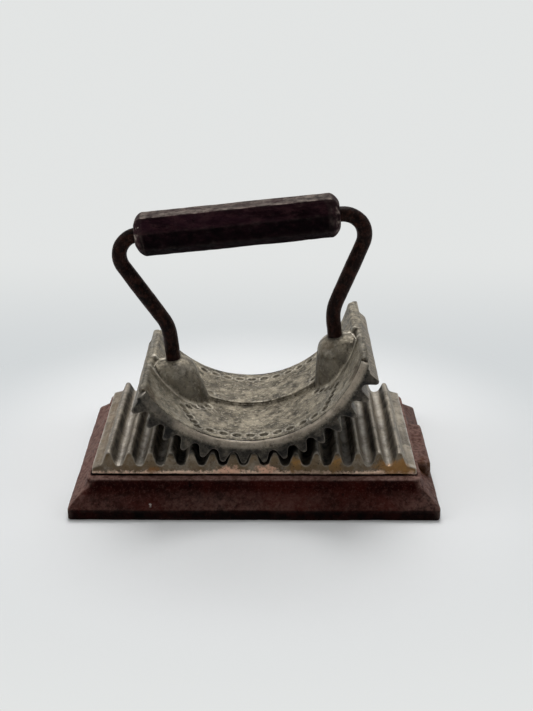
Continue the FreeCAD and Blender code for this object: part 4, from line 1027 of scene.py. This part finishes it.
def gripRings(apothem, rounding):
    # eight corners, each an arc of the rounding about a centre on the corner's line, joined by straight flats
    corner = (np.arange(8) * 45 + 22.5 + grip["turn"])[:, None]
    turn = np.radians(corner + np.linspace(-22.5, 22.5, 5)[None, :])
    reach = ((apothem - rounding) / math.cos(math.radians(22.5)))[:, None, None]
    share = np.linspace(0, 1, grip["around"] + 1)[None, None, 1:-1]
    rings = []
    for part in (np.cos, np.sin):
        arc = reach * part(np.radians(corner)) + rounding[:, None, None] * part(turn)
        flat = arc[:, :, -1:] * (1 - share) + np.roll(arc, -1, axis=1)[:, :, :1] * share
        rings.append(np.concatenate([arc, flat], axis=2).reshape(len(apothem), -1))
    return rings


def gripShape():
    # eight-sided rings whose distance from the axis grows over each end, half straight and half bowed
    full, bevel, depth = grip["flats"] / 2, grip["bevelLength"], grip["bevelDepth"]
    small = full - depth
    share = np.linspace(0.1, 0.98, 8)
    turn = share * np.pi / 2
    end = np.vstack([
        run((0, 0.01), (0, small - 0.5), 5),
        [(0, small - 0.5), (0.06, small - 0.1)],
        np.stack([bevel * (0.5 * share + 0.5 * (1 - np.cos(turn))),
                  small + depth * (0.5 * share + 0.5 * np.sin(turn))], axis=-1),
        [(bevel + 0.35, full)],
    ])
    long = grip["right"] - grip["left"]
    middle = run((bevel + 0.9, full), (long - bevel - 0.9, full), round((long - 2 * bevel) / grip["step"]))
    stations = np.vstack([end, middle, (end * (-1, 1) + (long, 0))[::-1]])
    apothem = stations[:, 1]
    y, z = gripRings(apothem, np.minimum(grip["cornerRound"], apothem * 0.4))
    x = np.broadcast_to(stations[:, :1] + grip["left"], y.shape)
    return [(placeHandle(np.stack([x, y, z + handle["gripZ"]], axis=-1)), True)]


def gripMarks(places, normals):
    # bare: painted light on the upper flats, where the paint is also thin, and paint rubbed off both ends;
    # worn:
    # wear and a painted highlight along the front's upper corner, and wear round the ends' edges; grime:
    # painted shade on the lower half
    endways, up = np.abs(normals[:, 0]), normals[:, 2]
    # painted light on the upper flats, where the paint is also thin
    upper = eased(up, 0.80, 0.96) * (0.45 + 0.55 * blotches(places, 1.8, 9, -0.4, 0.4, (0.4, 1, 1)))
    ends = 0.7 * eased(endways, 0.6, 0.9) * blotches(places, 1.8, 5, 0.1, 0.6)
    # wear and a painted highlight along the front's upper corner
    corner = stripe(up, 0.88, 0.09) * (normals[:, 1] < 0) * (endways < 0.35)
    corner = corner * blotches(places, 1.4, 6, -0.3, 0.4, (0.5, 1, 1))
    endRing = 0.6 * eased(endways, 0.55, 0.7) * eased(0.96 - endways, 0, 0.1)
    endRing = endRing * blotches(places, 1.3, 4, 0.0, 0.5)
    # painted shade on the lower half
    shadeBelow = 0.95 * eased(-up, -0.25, 0.15) * eased(0.6 - endways, 0, 0.2)
    return dict(bare=np.maximum(upper, ends), worn=np.maximum(corner, endRing), grime=shadeBelow)


print("pieces: castings and handle")
for name, nodes, body, slot, finish, shapeOf, look, marksAt in (
        ("mouldedBase", ["base"], "base", "base_iron", "japannedIron",
         baseShape, baseLook, baseMarks),
        ("flutedPlate", ["fluted_plate"], "plate", "plate_iron", "wornPlateIron",
         plateShape, plateLook, plateMarks),
        ("toothedShoe", ["rocker_shoe"], "rocker", "rocker_iron", "toothIron",
         shoeShape, shoeLook, shoeMarks),
        ("castSaddle", ["saddle"], "rocker", "rocker_iron", "saddleIron",
         saddleShape, saddleLook, saddleMarks),
        ("bentRod", ["handle_rod"], "rocker", "rod_iron", "blackRod",
         rodShape, rodLook, rodMarks),
        ("facetedGrip", ["grip"], "rocker", "grip_iron", "oxbloodGrip",
         gripShape, gripLook, gripMarks)):
    buildPiece(name, shapeOf(), body, ironFinish(finish, look), nodes, look, marksAt)

# Pins, dowels and the strip stay as the frame has them, in plain dull steel, with nothing stored to wear by

noLayer = ((0, 0, 0), 300.0, 0.0)
steelLook = dict(
    castLook, dark=(0.16, 0.15, 0.135), light=(0.3, 0.28, 0.25), broadScale=300.0,
    mottle=((0.1, 0.07, 0.05), 900.0, 0.4), fleck=((0.5, 0.47, 0.43), 2000.0, 0.3),
    bare=noLayer, grime=((0.03, 0.025, 0.02), 300.0, 0.0), worn=noLayer, metal=0.8, roughness=0.42,
    sheen=0.5, lumpScale=900.0, pitScale=1500.0, pitShade=0.4, bumpStrength=0.3, bumpDepth=0.1)
steel = ironFinish("dullSteel", steelLook)
for node in frame["nodes"].values():
    if not node.hide_render:
        node.data.materials.clear()
        node.data.materials.append(steel)

# Stage: a pale floor that sweeps up into a backdrop

print("stage: floor, lamps and camera")
stage = dict(
    halfWidth=3.0, front=-2.0, sweepStart=1.2, sweepRadius=1.2, height=2.6, tone=(0.8, 0.81, 0.815),
    roughness=0.9, near=0.09, far=0.17, middleTone=(0.655, 0.68, 0.69), farTone=(0.765, 0.78, 0.775),
    middle=0.06, even=0.04, spreadOut=0.24)


def makeStage():
    # a straight floor, a quarter turn up, and a straight wall, carried across the width
    middle, radius = stage["sweepStart"], stage["sweepRadius"]
    line = np.vstack([run((stage["front"], 0), (middle, 0), 6), bow((middle, radius), radius, 270, 360, 24),
                      [(middle + radius, stage["height"])]])
    x = np.array([-stage["halfWidth"], stage["halfWidth"]])
    points = np.stack(np.broadcast_arrays(x, line[:, :1], line[:, 1:]), axis=-1)
    mesh = bpy.data.meshes.new("floorSweep")
    mesh.from_pydata(points.reshape(-1, 3).tolist(), [], quads(len(line), 2, closed=False))
    mesh.polygons.foreach_set("use_smooth", np.ones(len(mesh.polygons), bool))
    mesh.materials.append(stageFinish())
    floor = addObject("floorSweep", mesh)


def stageFinish():
    # a pale matt floor that keeps the object's shadow; far from the object it glows pale, with painted shade
    # that makes the glow darker in a band across the middle depth
    material, tree, shader = newMaterial("paleStage")
    shader.inputs["Base Color"].default_value = (*stage["tone"], 1)
    shader.inputs["Roughness"].default_value = stage["roughness"]
    vector = objectPlace(tree)
    ray = addNode(tree, "ShaderNodeLightPath").outputs
    seen = calculate(tree, "MAXIMUM", ray["Is Camera Ray"], ray["Is Glossy Ray"])
    share = product(tree, seen, spread(tree, onVector(tree, "LENGTH", vector), stage["near"], stage["far"]))
    # painted shade: the glow is darker in a band across the middle depth, paler farther away
    depth = addNode(tree, "ShaderNodeSeparateXYZ", {0: vector}).outputs["Y"]
    depth = calculate(tree, "ABSOLUTE", calculate(tree, "SUBTRACT", depth, stage["middle"]))
    away = spread(tree, depth, stage["even"], stage["spreadOut"])
    tone = blend(tree, away, stage["middleTone"], stage["farTone"])
    glow = addNode(tree, "ShaderNodeEmission", {"Color": tone, "Strength": 1.0}).outputs["Emission"]
    mix = addNode(tree, "ShaderNodeMixShader", {0: share, 1: shader.outputs["BSDF"], 2: glow})
    tree.links.new(mix.outputs[0], tree.nodes["Material Output"].inputs["Surface"])
    return material


lights = dict(
    worldTone=(0.985, 1.0, 0.995), worldStrength=0.22, seenStrength=0.775, size=0.8, aim=(0, 0, 0.04),
    lamps=[("backBox", (0.0, 0.6, 1.2), 13.5), ("leftBox", (-1.1, -0.1, 0.7), 3.2),
           ("rightBox", (1.1, -0.1, 0.7), 2.2)])


def makeLights():
    # an even pale world, brighter only to the camera, and three round soft boxes aimed at the object
    world = bpy.data.worlds.new("paleRoom")
    world.use_nodes = True
    background = world.node_tree.nodes["Background"]
    background.inputs["Color"].default_value = (*lights["worldTone"], 1)
    seen = addNode(world.node_tree, "ShaderNodeLightPath").outputs["Is Camera Ray"]
    strength = spread(world.node_tree, seen, 0.0, 1.0, lights["worldStrength"], lights["seenStrength"])
    world.node_tree.links.new(strength, background.inputs["Strength"])
    bpy.context.scene.world = world
    for name, at, power in lights["lamps"]:
        lamp = bpy.data.lights.new(name, "AREA")
        lamp.shape = "DISK"
        lamp.size = lights["size"]
        lamp.energy = power
        box = addObject(name, lamp)
        box.location = at
        way = np.subtract(lights["aim"], at)    # its -Z goes down from straight up, then round
        box.rotation_euler = (math.atan2(math.hypot(way[0], way[1]), -way[2]), 0,
                              math.atan2(way[1], way[0]) - math.pi / 2)


# Camera: where the photograph was taken from

camera = dict(
    at=(0.00684, -0.42038, 0.23417), pitch=23.47, yaw=0.25, roll=0.02, focal=1085.4, photoHeight=711,
    sensor=36.0, clipStart=0.01, clipEnd=20)


def makeCamera():
    # the focal length in pixels of the photograph's height becomes millimetres on the sensor
    data = bpy.data.cameras.new("photoCamera")
    data.sensor_width = camera["sensor"]
    data.lens = camera["focal"] / camera["photoHeight"] * camera["sensor"]
    data.clip_start = camera["clipStart"]
    data.clip_end = camera["clipEnd"]
    eye = addObject("photoCamera", data)
    eye.location = camera["at"]
    eye.rotation_euler = np.radians((90 - camera["pitch"], camera["roll"], camera["yaw"]))
    bpy.context.scene.camera = eye


makeStage()
makeLights()
makeCamera()
bpy.context.scene.view_settings.view_transform = "Standard"
